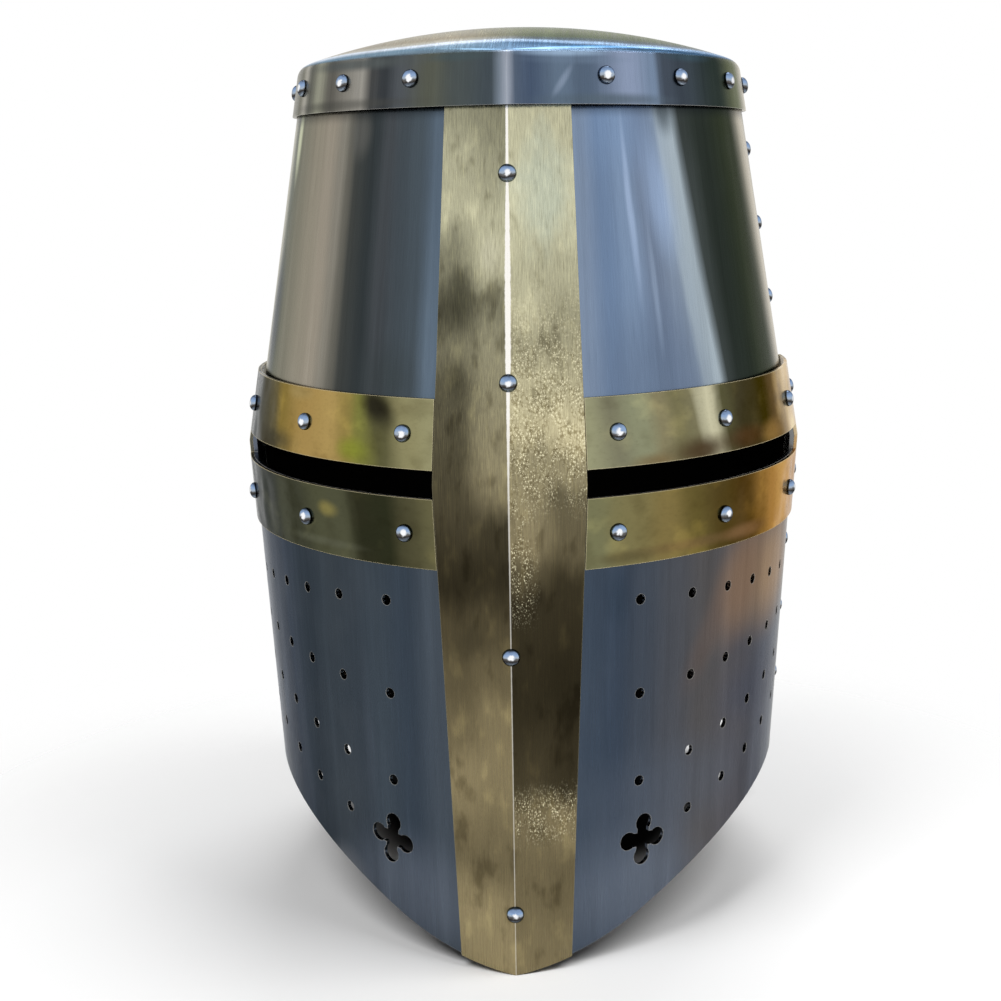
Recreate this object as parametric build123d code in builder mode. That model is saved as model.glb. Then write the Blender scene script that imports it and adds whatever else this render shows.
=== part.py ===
from build123d import *
import math
import os

os.makedirs("parts", exist_ok=True)

# Great helm, in millimetres. +Z is up, the keeled front faces -Y, and +X is on the right of a viewer
# who faces it. Height 0 is the point of the front. The walls follow one datum surface, given by its
# half width, its depth to the keel in front and its depth behind, at three heights.
tip_half_width = 95.0
tip_keel_depth = 124.8
tip_back_depth = 112.0
sight_height = 172.6
sight_half_width = 105.6
sight_keel_depth = 129.8
sight_back_depth = 116.0
crown_height = 296.0
crown_half_width = 85.5
crown_keel_depth = 104.8
crown_back_depth = 95.0

# The widest plane of the helm lies behind the origin, which is under the middle of its depth.
widest_y = 8.9

# Sheets and the gap between two that lie on each other.
steel = 1.6
arm_brass = 1.2
upright_brass = 1.5
sheet_gap = 0.1

# Where the plates end.
waist_overlap_low = 183.0
waist_overlap_high = 194.0
plate_top = 309.0
front_plate_reach = 12.0
back_plate_reach = 8.0
rim_height = 46.8
tip_edge_slope = 7.0
tip_edge_radius = 110.0
rim_edge_slope = 31.0
nape_height = 14.0
nape_half_span = 94.0

# The crown: a flange, a rolled bend and a low dome.
flange_height = 17.0
crown_keel_room = 2.4
dome_rise = 14.5
dome_spread = 2.2
bend_radius = 4.5

# The brass cross. The upright rides on the upper plate, then steps out onto the lower one.
upright_top = 306.0
upright_half_width_top = 21.0
upright_half_width_sight = 25.7
upright_half_width_tip = 19.0
ramp_low = 196.0
ramp_high = 212.0
arm_low = 143.6
arm_high = 200.8
arm_reach = 11.0
arm_joint_gap = 0.2
sight_width = 9.6
sight_tuck = 1.7
sight_end_run = 22.0

# Breaths: columns along the wall from the keel, rows that fan out towards the side.
breath_radius = 1.9
breath_columns = [46.5, 69.7, 89.5, 107.2, 124.5, 140.8]
breath_row_heights = [130.6, 96.8, 64.5, 41.0]
breath_row_rises = [-5.4, 10.0, 25.0, 31.0]
cross_girth = 48.3
cross_height = 42.0
cross_turns = {1: -3.0, -1: -9.0}
cross_lobe_radius = 3.35
cross_lobe_reach = 6.2
cross_waist = 5.1

# Rivets.
head_radius = 3.1
head_height = 2.3
shank_radius = 1.6
tail_radius = 2.6
tail_height = 1.2
tail_gap = 0.05
crown_tail_room = 0.15
hole_clearance = 0.05
keel_saddle = 0.8
crown_rivet_height = 305.5
crown_rivet_girths = [35.4, 69.0, 104.5, 142.0]
crown_rivets_behind_per_side = 3
crown_rivet_turn = 22.5
keel_rivet_heights = [274.0, 115.5, 22.8]
band_keel_rivet_height = 206.6
arm_rivet_girths = [36.9, 84.4, 142.0]
arm_rivet_high = 189.0
arm_rivet_low = 155.5
seam_run = 4.0
upper_seam_heights = [282.0, 253.5]
lower_seam_heights = [99.0, 71.0]
band_rivet_height = 225.0
waist_rivet_height = 188.5
waist_rivet_count = 7
band_back_turns = [45.0, 90.0, 135.0]

# Leather lining: a headband, eight tongues and a crown patch.
band_low = 200.0
band_high = 241.0
band_leather = 3.0
lining_gap = 0.3
band_washer_radius = 4.5
washer_room = 0.15
washer_thickness = 1.0
tongue_leather = 2.0
tongue_low = 231.0
tongue_rise = 56.0
tongue_gap = 8.0
tongue_count = 8
tongue_level_shares = [0, 0.33, 0.63, 0.83, 0.93, 0.98]
tongue_end_radius = 20.0
patch_leather = 2.0
patch_level_shares = [0.9, 0.94, 0.98, 0.998]
patch_rivet_share = 0.945
patch_shank_radius = 1.2
patch_head_radius = 2.6
patch_head_height = 1.4
patch_tail_room = 0.5

# Chin strap: a buckled loop that swings on one rivet at each side.
strap_width = 18.0
strap_leather = 2.2
pivot_below_arm = 16.6
strap_pivot_height = arm_low - pivot_below_arm
strap_tab = 11.0
strap_drop = 16.0
strap_shoulder_radius = 60.0
strap_bottom_height = 16.0
strap_bottom_half_span = 45.0
strap_bottom_round_share = 0.99
strap_shank_radius = 2.0
strap_slack = 0.25
seat_slack = 0.45
spacer_thickness = 1.8
spacer_radius = 5.0
buckle_wire_radius = 1.25
wire_round_share = 0.96
buckle_play = 0.1
buckle_inner_width = 20.0
buckle_corner_radius = 3.5
buckle_heel_run = 40.0
buckle_length = 22.0
strap_rub = 0.3
fold_leather = 1.5
fold_length = 25.0
strap_over_height = 7.05
strap_rise_lead = 1.0
strap_crest_lead = 0.6
strap_bend_radius = 6.0
strap_lie_run = 31.0
strap_end_run = 18.0
prong_radius = 0.9
prong_eye_radius = 2.5
prong_eye_width = 4.0
prong_slot_width = 5.0
prong_hole_length = 13.0
prong_hole_width = 2.6
spare_hole_radius = 1.5
spare_hole_pitch = 13.0
spare_hole_count = 4
keeper_run = 25.0
keeper_length = 8.0
keeper_leather = 1.5

# Helpers for cutting.
overrun = 6.0
reach = 400.0
drill_reach = 16.0
slope_step = 1.0

# Offsets of the sheets from the datum, inner and outer face.
upper_front_faces = (-steel, 0)
lower_back_faces = (-steel, 0)
upper_back_faces = (-2 * steel - sheet_gap, -steel - sheet_gap)
lower_front_faces = (sheet_gap, sheet_gap + steel)
arm_faces = (lower_front_faces[1] + sheet_gap, lower_front_faces[1] + sheet_gap + arm_brass)
upright_low_faces = (lower_front_faces[1] + sheet_gap, lower_front_faces[1] + sheet_gap + upright_brass)
upright_high_faces = (sheet_gap, sheet_gap + upright_brass)
band_faces = (upper_back_faces[0] - lining_gap - band_leather, upper_back_faces[0] - lining_gap)
tongue_outer = band_faces[0] - lining_gap
wall_top = crown_height + flange_height + dome_rise + overrun


def between(low, high, share):
    """The value that lies this share of the way from low to high."""
    return low + (high - low) * share


def plan_at(height):
    """Half width, keel depth and back depth of the datum surface at a height."""
    if height < sight_height:
        share = height / sight_height
        return (
            between(tip_half_width, sight_half_width, share),
            between(tip_keel_depth, sight_keel_depth, share),
            between(tip_back_depth, sight_back_depth, share),
        )
    share = (height - sight_height) / (crown_height - sight_height)
    return (
        between(sight_half_width, crown_half_width, share),
        between(sight_keel_depth, crown_keel_depth, share),
        between(sight_back_depth, crown_back_depth, share),
    )


def crown_plan_at(height):
    """The outer face of the crown's flange: it stands off the wall to clear the brass upright."""
    half_width, keel_depth, back_depth = plan_at(height)
    standoff = sheet_gap + steel
    return (half_width + standoff, keel_depth + crown_keel_room + steel, back_depth + standoff)


def lining_plan_at(height, grow):
    """The dome of the lining above the headband, grown outward by a distance."""
    half_width, keel_depth, back_depth = (size + tongue_outer + grow for size in plan_at(band_high))
    climb = (height - band_high) / (tongue_rise + grow)
    across = math.sqrt(1 - climb**2)
    return (
        half_width * across,
        across * between(half_width, keel_depth, across),
        across * between(half_width, back_depth, across),
    )


def lining_height(share, grow):
    """The height at this share of the lining dome's rise."""
    return band_high + (tongue_rise + grow) * share


def front_arc(plan):
    """Radius of each front arc and the distance of its centre from the keel plane."""
    half_width, keel_depth, back_depth = plan
    radius = (half_width**2 + keel_depth**2) / (2 * half_width)
    return radius, half_width - radius


def keel_turn(plan, grow=0):
    """Angle round a front arc from the widest plane to the keel, in degrees."""
    radius, centre = front_arc(plan)
    return math.degrees(math.acos(-centre / (radius + grow)))


def plan_face(plan, height, grow=0):
    """The helm's outline: two arcs that meet in the keel and a half ellipse behind."""
    half_width, keel_depth, back_depth = plan
    radius, centre = front_arc(plan)
    turn = keel_turn(plan, grow)
    with BuildSketch(Plane(origin=(0, widest_y, height))) as sketch:
        with BuildLine():
            CenterArc((centre, 0), radius + grow, 0, -turn)
            CenterArc((-centre, 0), radius + grow, 180 + turn, -turn)
            EllipticalCenterArc((0, 0), half_width + grow, back_depth + grow, start_angle=0, arc_size=180)
        make_face()
    return sketch.sketch


def add_wall(levels):
    """Adds a wall whose levels give height, inner and outer offset from the datum."""
    loft(sections=[plan_face(plan_at(height), height, outer) for height, inner, outer in levels], ruled=True)
    loft(
        sections=[plan_face(plan_at(height), height, inner) for height, inner, outer in levels],
        ruled=True,
        mode=Mode.SUBTRACT,
    )


def even_levels(faces):
    """Levels of a wall with the same faces from bottom to top."""
    return [(height, *faces) for height in (-overrun, sight_height, wall_top)]


def keep_box(low, high, front=-reach, back=reach, mode=Mode.INTERSECT):
    """Keeps, or cuts away, what lies between two heights and two distances from the widest plane."""
    middle = (0, widest_y + (front + back) / 2, (low + high) / 2)
    with Locations(middle):
        Box(2 * reach, back - front, high - low, mode=mode)


def below_front_edge():
    """The region under the front's lower edge: a rounded point, then a straight rise to the rim."""
    with BuildSketch(Plane.XZ) as sketch:
        with BuildLine():
            point = (math.cos(math.radians(tip_edge_slope)), math.sin(math.radians(tip_edge_slope)))
            curve = JernArc((0, 0), point, tip_edge_radius, rim_edge_slope - tip_edge_slope)
            climb = rim_height - (curve @ 1).Y
            rise = PolarLine(curve @ 1, climb / math.sin(math.radians(rim_edge_slope)), rim_edge_slope)
            Polyline(rise @ 1, (reach, rim_height), (reach, -reach), (0, -reach), (0, 0))
        make_face()
        mirror(about=Plane.YZ)
    return sketch.sketch


def cut_front_edge():
    """Cuts the lower edge of the front out of the piece being built."""
    extrude(below_front_edge(), amount=reach, both=True, mode=Mode.SUBTRACT)


def cut_back_edge():
    """Cuts the lower edge of the back out of the piece being built: one shallow arc, lowest at the nape."""
    rim_left, rim_right = (-nape_half_span, rim_height), (nape_half_span, rim_height)
    with BuildSketch(Plane.XZ) as sketch:
        with BuildLine():
            ThreePointArc(rim_left, (0, nape_height), rim_right)
            outer = [(reach, rim_height), (reach, -reach), (-reach, -reach), (-reach, rim_height)]
            Polyline(rim_right, *outer, rim_left)
        make_face()
    extrude(sketch.sketch, amount=reach, both=True, mode=Mode.SUBTRACT)


def upright_band(grow=0):
    """The upright as seen from the front, wider at the sights than at either end."""
    corners = [
        (upright_half_width_tip + grow, -overrun),
        (upright_half_width_sight + grow, sight_height),
        (upright_half_width_top + grow, crown_height),
        (upright_half_width_top + grow, wall_top),
    ]
    with BuildSketch(Plane.XZ) as sketch:
        with BuildLine():
            Polyline(*corners, *[(-x, z) for x, z in reversed(corners)], close=True)
        make_face()
    return sketch.sketch


def lean_of(plan_of, height, x_share, y_share):
    """Upward part of the wall's normal where its level part is (x_share, y_share) from an arc's centre."""
    low_radius, low_centre = front_arc(plan_of(height - slope_step))
    high_radius, high_centre = front_arc(plan_of(height + slope_step))
    spread = x_share * (high_centre - low_centre) + (high_radius - low_radius)
    return -spread / (2 * slope_step)


def front_place(plan_of, side, turn, height, grow=0):
    """Plane on a front arc, turned this many degrees from the widest plane; its Z points outward."""
    radius, centre = front_arc(plan_of(height))
    x_share, y_share = math.cos(math.radians(turn)), math.sin(math.radians(turn))
    lean = lean_of(plan_of, height, x_share, y_share)
    spot = (side * (centre + (radius + grow) * x_share), widest_y - (radius + grow) * y_share, height)
    return Plane(origin=spot, x_dir=(side * y_share, x_share, 0), z_dir=(side * x_share, -y_share, lean))


def girth_place(plan_of, side, girth, height, grow=0):
    """Plane on a front arc, this far from the keel along the wall."""
    plan = plan_of(height)
    turn = keel_turn(plan) - math.degrees(girth / front_arc(plan)[0])
    return front_place(plan_of, side, turn, height, grow)


def back_place(plan_of, turn, height, grow=0):
    """Plane on the back wall: turn 0 is the right side, 90 the middle behind, 180 the left side."""
    half_width, keel_depth, back_depth = plan_of(height)
    low, high = plan_of(height - slope_step), plan_of(height + slope_step)
    x_share, y_share = math.cos(math.radians(turn)), math.sin(math.radians(turn))
    level = Vector(x_share / half_width, y_share / back_depth)
    spread = (high[0] - low[0]) * x_share**2 / half_width + (high[2] - low[2]) * y_share**2 / back_depth
    normal = Vector(level.X, level.Y, -spread / (2 * slope_step)).normalized()
    wall = Vector(half_width * x_share, widest_y + back_depth * y_share, height)
    along = Vector(-level.Y, level.X, 0)
    return Plane(origin=wall + level.normalized() * grow, x_dir=along, z_dir=normal)


def seam_turn(side, height):
    """Turn of the side seam's rivets on the back wall."""
    turn = math.degrees(math.asin(seam_run / plan_at(height)[2]))
    return turn if side > 0 else 180 - turn


def seam_places(heights, grow):
    """Planes down both side seams."""
    return [
        back_place(plan_at, seam_turn(side, height), height, grow)
        for side in (1, -1)
        for height in heights
    ]


def upright_faces_at(height):
    """Inner and outer offset of the upright at a height."""
    share = min(max((height - ramp_low) / (ramp_high - ramp_low), 0), 1)
    return [between(low, high, share) for low, high in zip(upright_low_faces, upright_high_faces)]


def keel_depth_at(height, grow):
    """Distance of the keel line from the widest plane, on a sheet moved out by grow."""
    radius, centre = front_arc(plan_at(height))
    return math.sqrt((radius + grow) ** 2 - centre**2)


def keel_place(height):
    """Plane on the upright's keel line, its Z pointing outward."""
    low = keel_depth_at(height - slope_step, upright_faces_at(height - slope_step)[1])
    high = keel_depth_at(height + slope_step, upright_faces_at(height + slope_step)[1])
    spot = (0, widest_y - keel_depth_at(height, upright_faces_at(height)[1]), height)
    return Plane(origin=spot, x_dir=(1, 0, 0), z_dir=(0, -1, -(high - low) / (2 * slope_step)))


def drill(places, radius=shank_radius + hole_clearance):
    """Cuts a round hole through the wall at each place."""
    with Locations(*places):
        Cylinder(radius, 2 * drill_reach, mode=Mode.SUBTRACT)


def rivet_at(place, grip, shank=shank_radius, head=head_radius, dome=head_height, tail=tail_radius, saddle=0):
    """A domed rivet: head outside the place, shank through the grip, low formed head at its inner end."""
    inner_end = -grip - tail_gap
    skirt = [(head, -saddle), (head, 0)] if saddle else [(head, 0)]
    with BuildPart() as rivet:
        with BuildSketch(Plane.XZ):
            with BuildLine():
                Line((0, dome), (0, inner_end - tail_height))
                ThreePointArc(
                    (0, inner_end - tail_height),
                    (tail * math.sin(math.pi / 4), inner_end - tail_height * math.cos(math.pi / 4)),
                    (tail, inner_end),
                )
                Polyline((tail, inner_end), (shank, inner_end), (shank, -saddle), *skirt)
                cap_radius = (head**2 + dome**2) / (2 * dome)
                half_turn = math.asin(head / cap_radius) / 2
                crest = dome - cap_radius
                middle = (cap_radius * math.sin(half_turn), crest + cap_radius * math.cos(half_turn))
                ThreePointArc((head, 0), middle, (0, dome))
            make_face()
        revolve(axis=Axis.Z)
    return place.location * rivet.part


def ring_at(place, outer_radius, inner_radius, thickness):
    """A flat washer that starts at a place and runs along its Z."""
    with BuildPart() as ring:
        with BuildSketch(place):
            Circle(outer_radius)
            Circle(inner_radius, mode=Mode.SUBTRACT)
        extrude(amount=thickness)
    return ring.part


def finish(piece, name):
    """Names a finished piece and writes it."""
    piece.label = name
    export_step(piece, f"parts/{name}.step")


# Rivet places, shared by the rivets and by every sheet that they pass through.
crown_front_places = [
    girth_place(crown_plan_at, side, girth, crown_rivet_height)
    for side in (1, -1)
    for girth in crown_rivet_girths
]
crown_back_turns = [
    90 + step * crown_rivet_turn
    for step in range(-crown_rivets_behind_per_side, crown_rivets_behind_per_side + 1)
]
crown_back_places = [back_place(crown_plan_at, turn, crown_rivet_height) for turn in crown_back_turns]
keel_places = [keel_place(height) for height in keel_rivet_heights]
band_keel_place = keel_place(band_keel_rivet_height)
arm_places = {
    side: {
        height: [girth_place(plan_at, side, girth, height, arm_faces[1]) for girth in arm_rivet_girths]
        for height in (arm_rivet_high, arm_rivet_low)
    }
    for side in (1, -1)
}
arm_seam_places = {
    side: {
        height: back_place(plan_at, seam_turn(side, height), height, arm_faces[1])
        for height in (arm_rivet_high, arm_rivet_low)
    }
    for side in (1, -1)
}
all_arm_places = {
    side: arm_places[side][arm_rivet_high]
    + arm_places[side][arm_rivet_low]
    + [arm_seam_places[side][arm_rivet_high], arm_seam_places[side][arm_rivet_low]]
    for side in (1, -1)
}
upper_seam_places = seam_places(upper_seam_heights, upper_front_faces[1])
lower_seam_places = seam_places(lower_seam_heights, lower_front_faces[1])
band_side_places = seam_places([band_rivet_height], upper_front_faces[1])
band_back_places = [back_place(plan_at, turn, band_rivet_height, upper_back_faces[1]) for turn in band_back_turns]
waist_turns = [180 * (step + 1) / (waist_rivet_count + 1) for step in range(waist_rivet_count)]
waist_places = [back_place(plan_at, turn, waist_rivet_height, lower_back_faces[1]) for turn in waist_turns]

# The chin strap's pivots: one level axis through both side seams.
strap_y = widest_y + seam_run
pivot_turn = math.radians(seam_turn(1, strap_pivot_height))
pivot_wall_x = plan_at(strap_pivot_height)[0] * math.cos(pivot_turn)
pivot_head_x = pivot_wall_x + lower_front_faces[1] + strap_slack
spacer_outer_x = pivot_wall_x + lower_back_faces[0] - seat_slack
strap_x = spacer_outer_x - spacer_thickness - strap_slack - strap_leather / 2
pivot_washer_x = strap_x - strap_leather / 2 - strap_slack
pivot_places = [
    Plane(origin=(side * pivot_head_x, strap_y, strap_pivot_height), x_dir=(0, side, 0), z_dir=(side, 0, 0))
    for side in (1, -1)
]

# Crown plate.


def crown_block(inset, height_drop, bend, low):
    """The crown's outline under its dome, moved inward by inset, with a rolled bend round the top."""
    levels = [(height, crown_plan_at(height)) for height in (low, wall_top)]
    bend_height = crown_height + flange_height
    half_width, keel_depth, back_depth = crown_plan_at(bend_height)
    lens_x = half_width * dome_spread
    lens_y = (keel_depth + back_depth) / 2 * dome_spread
    lens_z = dome_rise / (1 - math.sqrt(1 - 1 / dome_spread**2))
    lens = scale(Sphere(1), by=(lens_x, lens_y, lens_z))
    lens_place = Pos(0, widest_y + (back_depth - keel_depth) / 2, bend_height + dome_rise - lens_z - height_drop)
    with BuildPart() as block:
        loft(sections=[plan_face(plan, height, -inset) for height, plan in levels], ruled=True)
        add(lens_place * lens, mode=Mode.INTERSECT)
        fillet(block.faces().sort_by(Axis.Z)[-1].edges(), bend)
    return block.part


crown_outside = crown_block(0, 0, bend_radius, crown_height)
crown_inside = crown_block(steel, steel, bend_radius - steel, crown_height - overrun)
with BuildPart() as crown_plate:
    add(crown_outside)
    add(crown_inside, mode=Mode.SUBTRACT)
    drill(crown_front_places + crown_back_places)
finish(crown_plate.part, "crown_plate")

# Upper plates. The front plate's lower rear corners are cut away where the lower back plate comes up.
with BuildPart() as upper_front_plate:
    add_wall(even_levels(upper_front_faces))
    keep_box(waist_overlap_low, plate_top, back=front_plate_reach)
    keep_box(
        waist_overlap_low - overrun,
        waist_overlap_high + sheet_gap,
        front=-back_plate_reach - sheet_gap,
        mode=Mode.SUBTRACT,
    )
    drill(crown_front_places + keel_places + [band_keel_place] + upper_seam_places + band_side_places)
    drill(arm_places[1][arm_rivet_high] + arm_places[-1][arm_rivet_high])
finish(upper_front_plate.part, "upper_front_plate")

with BuildPart() as upper_back_plate:
    add_wall(even_levels(upper_back_faces))
    keep_box(waist_overlap_low, plate_top, front=-back_plate_reach)
    drill(crown_front_places + crown_back_places + upper_seam_places + band_side_places + band_back_places)
    drill(waist_places + [arm_seam_places[side][arm_rivet_high] for side in (1, -1)])
finish(upper_back_plate.part, "upper_back_plate")

# Lower front plate: sights, breaths and the pointed lower edge.


def sight_slots():
    """Cuts both sights, from just under the upright's edge to short of the side seam."""
    slot_inner_x = upright_half_width_sight - sight_tuck
    for side in (1, -1):
        middle_x = side * (slot_inner_x + reach / 2)
        with Locations((middle_x, widest_y - sight_end_run - reach / 2, sight_height)):
            Box(reach, reach, sight_width, mode=Mode.SUBTRACT)


breath_places = []
for low, rise in zip(breath_row_heights, breath_row_rises):
    row_columns = breath_columns[1:] if low == breath_row_heights[-1] else breath_columns
    for girth in row_columns:
        row_share = (girth - breath_columns[0]) / (breath_columns[-1] - breath_columns[0])
        breath_places += [girth_place(plan_at, side, girth, low + rise * row_share) for side in (1, -1)]

with BuildPart() as lower_front_plate:
    add_wall(even_levels(lower_front_faces))
    keep_box(-overrun, waist_overlap_high, back=front_plate_reach)
    cut_front_edge()
    sight_slots()
    drill(breath_places, breath_radius)
    for side, turn in cross_turns.items():
        with BuildSketch(girth_place(plan_at, side, cross_girth, cross_height)):
            with PolarLocations(cross_lobe_reach, 4, start_angle=turn):
                Circle(cross_lobe_radius)
            Rectangle(2 * cross_lobe_reach, cross_waist, rotation=turn)
            Rectangle(cross_waist, 2 * cross_lobe_reach, rotation=turn)
        extrude(amount=overrun, both=True, mode=Mode.SUBTRACT)
    drill(keel_places + lower_seam_places + all_arm_places[1] + all_arm_places[-1])
    drill(pivot_places, strap_shank_radius + hole_clearance)
finish(lower_front_plate.part, "lower_front_plate")

with BuildPart() as lower_back_plate:
    add_wall(even_levels(lower_back_faces))
    keep_box(-overrun, waist_overlap_high, front=-back_plate_reach)
    cut_back_edge()
    drill(lower_seam_places + waist_places)
    drill([arm_seam_places[side][height] for side in (1, -1) for height in (arm_rivet_high, arm_rivet_low)])
    drill(pivot_places, strap_shank_radius + hole_clearance)
finish(lower_back_plate.part, "lower_back_plate")

# Brass cross: the upright folded along the keel, and an arm on each side with its sight.
with BuildPart() as brass_upright:
    heights = (-overrun, sight_height, ramp_low, ramp_high, wall_top)
    add_wall([(height, *upright_faces_at(height)) for height in heights])
    keep_box(-overrun, upright_top, back=0)
    extrude(upright_band(), amount=reach, both=True, mode=Mode.INTERSECT)
    cut_front_edge()
    drill(keel_places + [band_keel_place])
finish(brass_upright.part, "brass_upright")

for side, name in ((1, "brass_arm_right"), (-1, "brass_arm_left")):
    with BuildPart() as brass_arm:
        add_wall(even_levels(arm_faces))
        keep_box(arm_low, arm_high, back=arm_reach)
        extrude(upright_band(arm_joint_gap), amount=reach, both=True, mode=Mode.SUBTRACT)
        with Locations((side * reach / 2, 0, arm_low)):
            Box(reach, 2 * reach, reach, mode=Mode.INTERSECT)
        sight_slots()
        drill(all_arm_places[side])
    finish(brass_arm.part, name)

# Rivets of the shell.


def crown_grip(outside, inside):
    """Distance through flange and wall along the outer plane's normal."""
    return (outside.origin - inside.origin).dot(outside.z_dir) + crown_tail_room


crown_rivet_list = []
for side in (1, -1):
    for girth in crown_rivet_girths:
        outside = girth_place(crown_plan_at, side, girth, crown_rivet_height)
        wall_radius, wall_centre = front_arc(plan_at(crown_rivet_height))
        turn = math.degrees(math.atan2(widest_y - outside.origin.Y, side * outside.origin.X - wall_centre))
        over_seam = girth == crown_rivet_girths[-1]
        inner_face = upper_back_faces[0] if over_seam else upper_front_faces[0]
        inside = front_place(plan_at, side, turn, crown_rivet_height, inner_face)
        crown_rivet_list.append(rivet_at(outside, crown_grip(outside, inside)))
for turn, outside in zip(crown_back_turns, crown_back_places):
    inside = back_place(plan_at, turn, crown_rivet_height, upper_back_faces[0])
    crown_rivet_list.append(rivet_at(outside, crown_grip(outside, inside)))
with BuildPart() as crown_rivets:
    add(crown_rivet_list)
finish(crown_rivets.part, "crown_rivets")

upright_rivet_list = []
for height, place in zip(keel_rivet_heights, keel_places):
    wall_inner = upper_front_faces[0] if height > waist_overlap_high else lower_front_faces[0]
    grip = upright_faces_at(height)[1] - wall_inner + keel_saddle
    upright_rivet_list.append(rivet_at(place, grip, saddle=keel_saddle))
with BuildPart() as upright_rivets:
    add(upright_rivet_list)
    add(brass_upright.part, mode=Mode.SUBTRACT)
finish(upright_rivets.part, "upright_rivets")

for side, name in ((1, "arm_rivets_right"), (-1, "arm_rivets_left")):
    arm_rivet_list = [
        rivet_at(place, arm_faces[1] - upper_front_faces[0]) for place in arm_places[side][arm_rivet_high]
    ]
    arm_rivet_list += [
        rivet_at(place, arm_faces[1] - lower_front_faces[0]) for place in arm_places[side][arm_rivet_low]
    ]
    arm_rivet_list += [
        rivet_at(arm_seam_places[side][arm_rivet_high], arm_faces[1] - upper_back_faces[0]),
        rivet_at(arm_seam_places[side][arm_rivet_low], arm_faces[1] - lower_back_faces[0]),
    ]
    with BuildPart() as arm_rivets:
        add(arm_rivet_list)
    finish(arm_rivets.part, name)

upper_seam_list = [rivet_at(place, upper_front_faces[1] - upper_back_faces[0]) for place in upper_seam_places]
with BuildPart() as upper_seam_rivets:
    add(upper_seam_list)
finish(upper_seam_rivets.part, "upper_seam_rivets")

lower_seam_list = [rivet_at(place, lower_front_faces[1] - lower_back_faces[0]) for place in lower_seam_places]
with BuildPart() as lower_seam_rivets:
    add(lower_seam_list)
finish(lower_seam_rivets.part, "lower_seam_rivets")

waist_list = [rivet_at(place, lower_back_faces[1] - upper_back_faces[0]) for place in waist_places]
with BuildPart() as waist_rivets:
    add(waist_list)
finish(waist_rivets.part, "waist_rivets")

# Lining: the headband on its rivets and washers.
washer_hole = shank_radius + hole_clearance
with BuildPart() as liner_headband:
    add_wall(even_levels(band_faces))
    keep_box(band_low, band_high)
    drill([band_keel_place] + band_side_places + band_back_places)
finish(liner_headband.part, "liner_headband")

band_keel_grip = upright_faces_at(band_keel_rivet_height)[1] - band_faces[0] + keel_saddle
band_side_grip = upper_front_faces[1] - band_faces[0] + washer_room
band_back_grip = upper_back_faces[1] - band_faces[0] + washer_room
band_rivet_places = [(place, band_side_grip) for place in band_side_places]
band_rivet_places += [(place, band_back_grip) for place in band_back_places]

washer_list = [
    ring_at(place.offset(-grip - washer_thickness), band_washer_radius, washer_hole, washer_thickness - tail_gap)
    for place, grip in band_rivet_places
]
with BuildPart() as liner_washers:
    add(washer_list)
finish(liner_washers.part, "liner_washers")

band_keel_rivet = rivet_at(band_keel_place, band_keel_grip, saddle=keel_saddle)
band_rivet_list = [rivet_at(place, grip + washer_thickness) for place, grip in band_rivet_places]
with BuildPart() as liner_rivets:
    add(band_keel_rivet)
    add(brass_upright.part, mode=Mode.SUBTRACT)
    add(band_rivet_list)
finish(liner_rivets.part, "liner_rivets")

# Lining: tongues from the band up to the patch.


def lining_dome(shares, grow):
    """Solid under the lining's dome, from its levels as shares of the rise."""
    heights = [lining_height(share, grow) for share in shares]
    return [plan_face(lining_plan_at(height, grow), height) for height in heights]


with BuildPart() as tongue_shell:
    foot = plan_face(plan_at(tongue_low), tongue_low, tongue_outer)
    loft(sections=[foot] + lining_dome(tongue_level_shares, 0), ruled=True)
    foot = plan_face(plan_at(tongue_low), tongue_low, tongue_outer - tongue_leather)
    loft(sections=[foot] + lining_dome(tongue_level_shares, -tongue_leather), ruled=True, mode=Mode.SUBTRACT)
    with Locations((0, widest_y, band_high)):
        Cylinder(tongue_end_radius, reach, mode=Mode.SUBTRACT)

patch_height = lining_height(patch_rivet_share, lining_gap + patch_leather)


def patch_plan_at(height):
    """The patch's outer face."""
    return lining_plan_at(height, lining_gap + patch_leather)


half_step = 180 / tongue_count
quarter_turns = [half_step + 2 * half_step * step for step in range(tongue_count // 4)]
patch_places = [
    front_place(patch_plan_at, side, turn, patch_height)
    for side in (1, -1)
    for turn in quarter_turns
]
patch_places += [back_place(patch_plan_at, turn, patch_height) for turn in quarter_turns]
patch_places += [back_place(patch_plan_at, 180 - turn, patch_height) for turn in quarter_turns]
patch_hole = patch_shank_radius + hole_clearance

tongue_apex = tongue_gap / 2 / math.sin(math.radians(half_step))
for step in range(tongue_count):
    with BuildPart() as liner_tongue:
        add(tongue_shell.part)
        middle_turn = half_step + 2 * half_step * step
        with BuildSketch(Plane(origin=(0, widest_y, tongue_low - overrun))):
            with BuildLine():
                apex = Vector(tongue_apex, 0).rotate(Axis.Z, middle_turn)
                left = apex + Vector(reach, 0).rotate(Axis.Z, middle_turn + half_step)
                right = apex + Vector(reach, 0).rotate(Axis.Z, middle_turn - half_step)
                Polyline(apex, right, left, close=True)
            make_face()
        extrude(amount=reach, mode=Mode.INTERSECT)
        drill(patch_places, patch_hole)
    finish(liner_tongue.part, f"liner_tongue_{step + 1}")

with BuildPart() as liner_crown_patch:
    loft(sections=lining_dome(patch_level_shares, lining_gap + patch_leather), ruled=True)
    loft(sections=lining_dome(patch_level_shares, lining_gap), ruled=True, mode=Mode.SUBTRACT)
    drill(patch_places, patch_hole)
finish(liner_crown_patch.part, "liner_crown_patch")

patch_grip = patch_leather + lining_gap + tongue_leather + patch_tail_room
patch_rivet_list = [
    rivet_at(place, patch_grip, patch_shank_radius, patch_head_radius, patch_head_height, patch_head_radius)
    for place in patch_places
]
with BuildPart() as patch_rivets:
    add(patch_rivet_list)
finish(patch_rivets.part, "patch_rivets")

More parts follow.
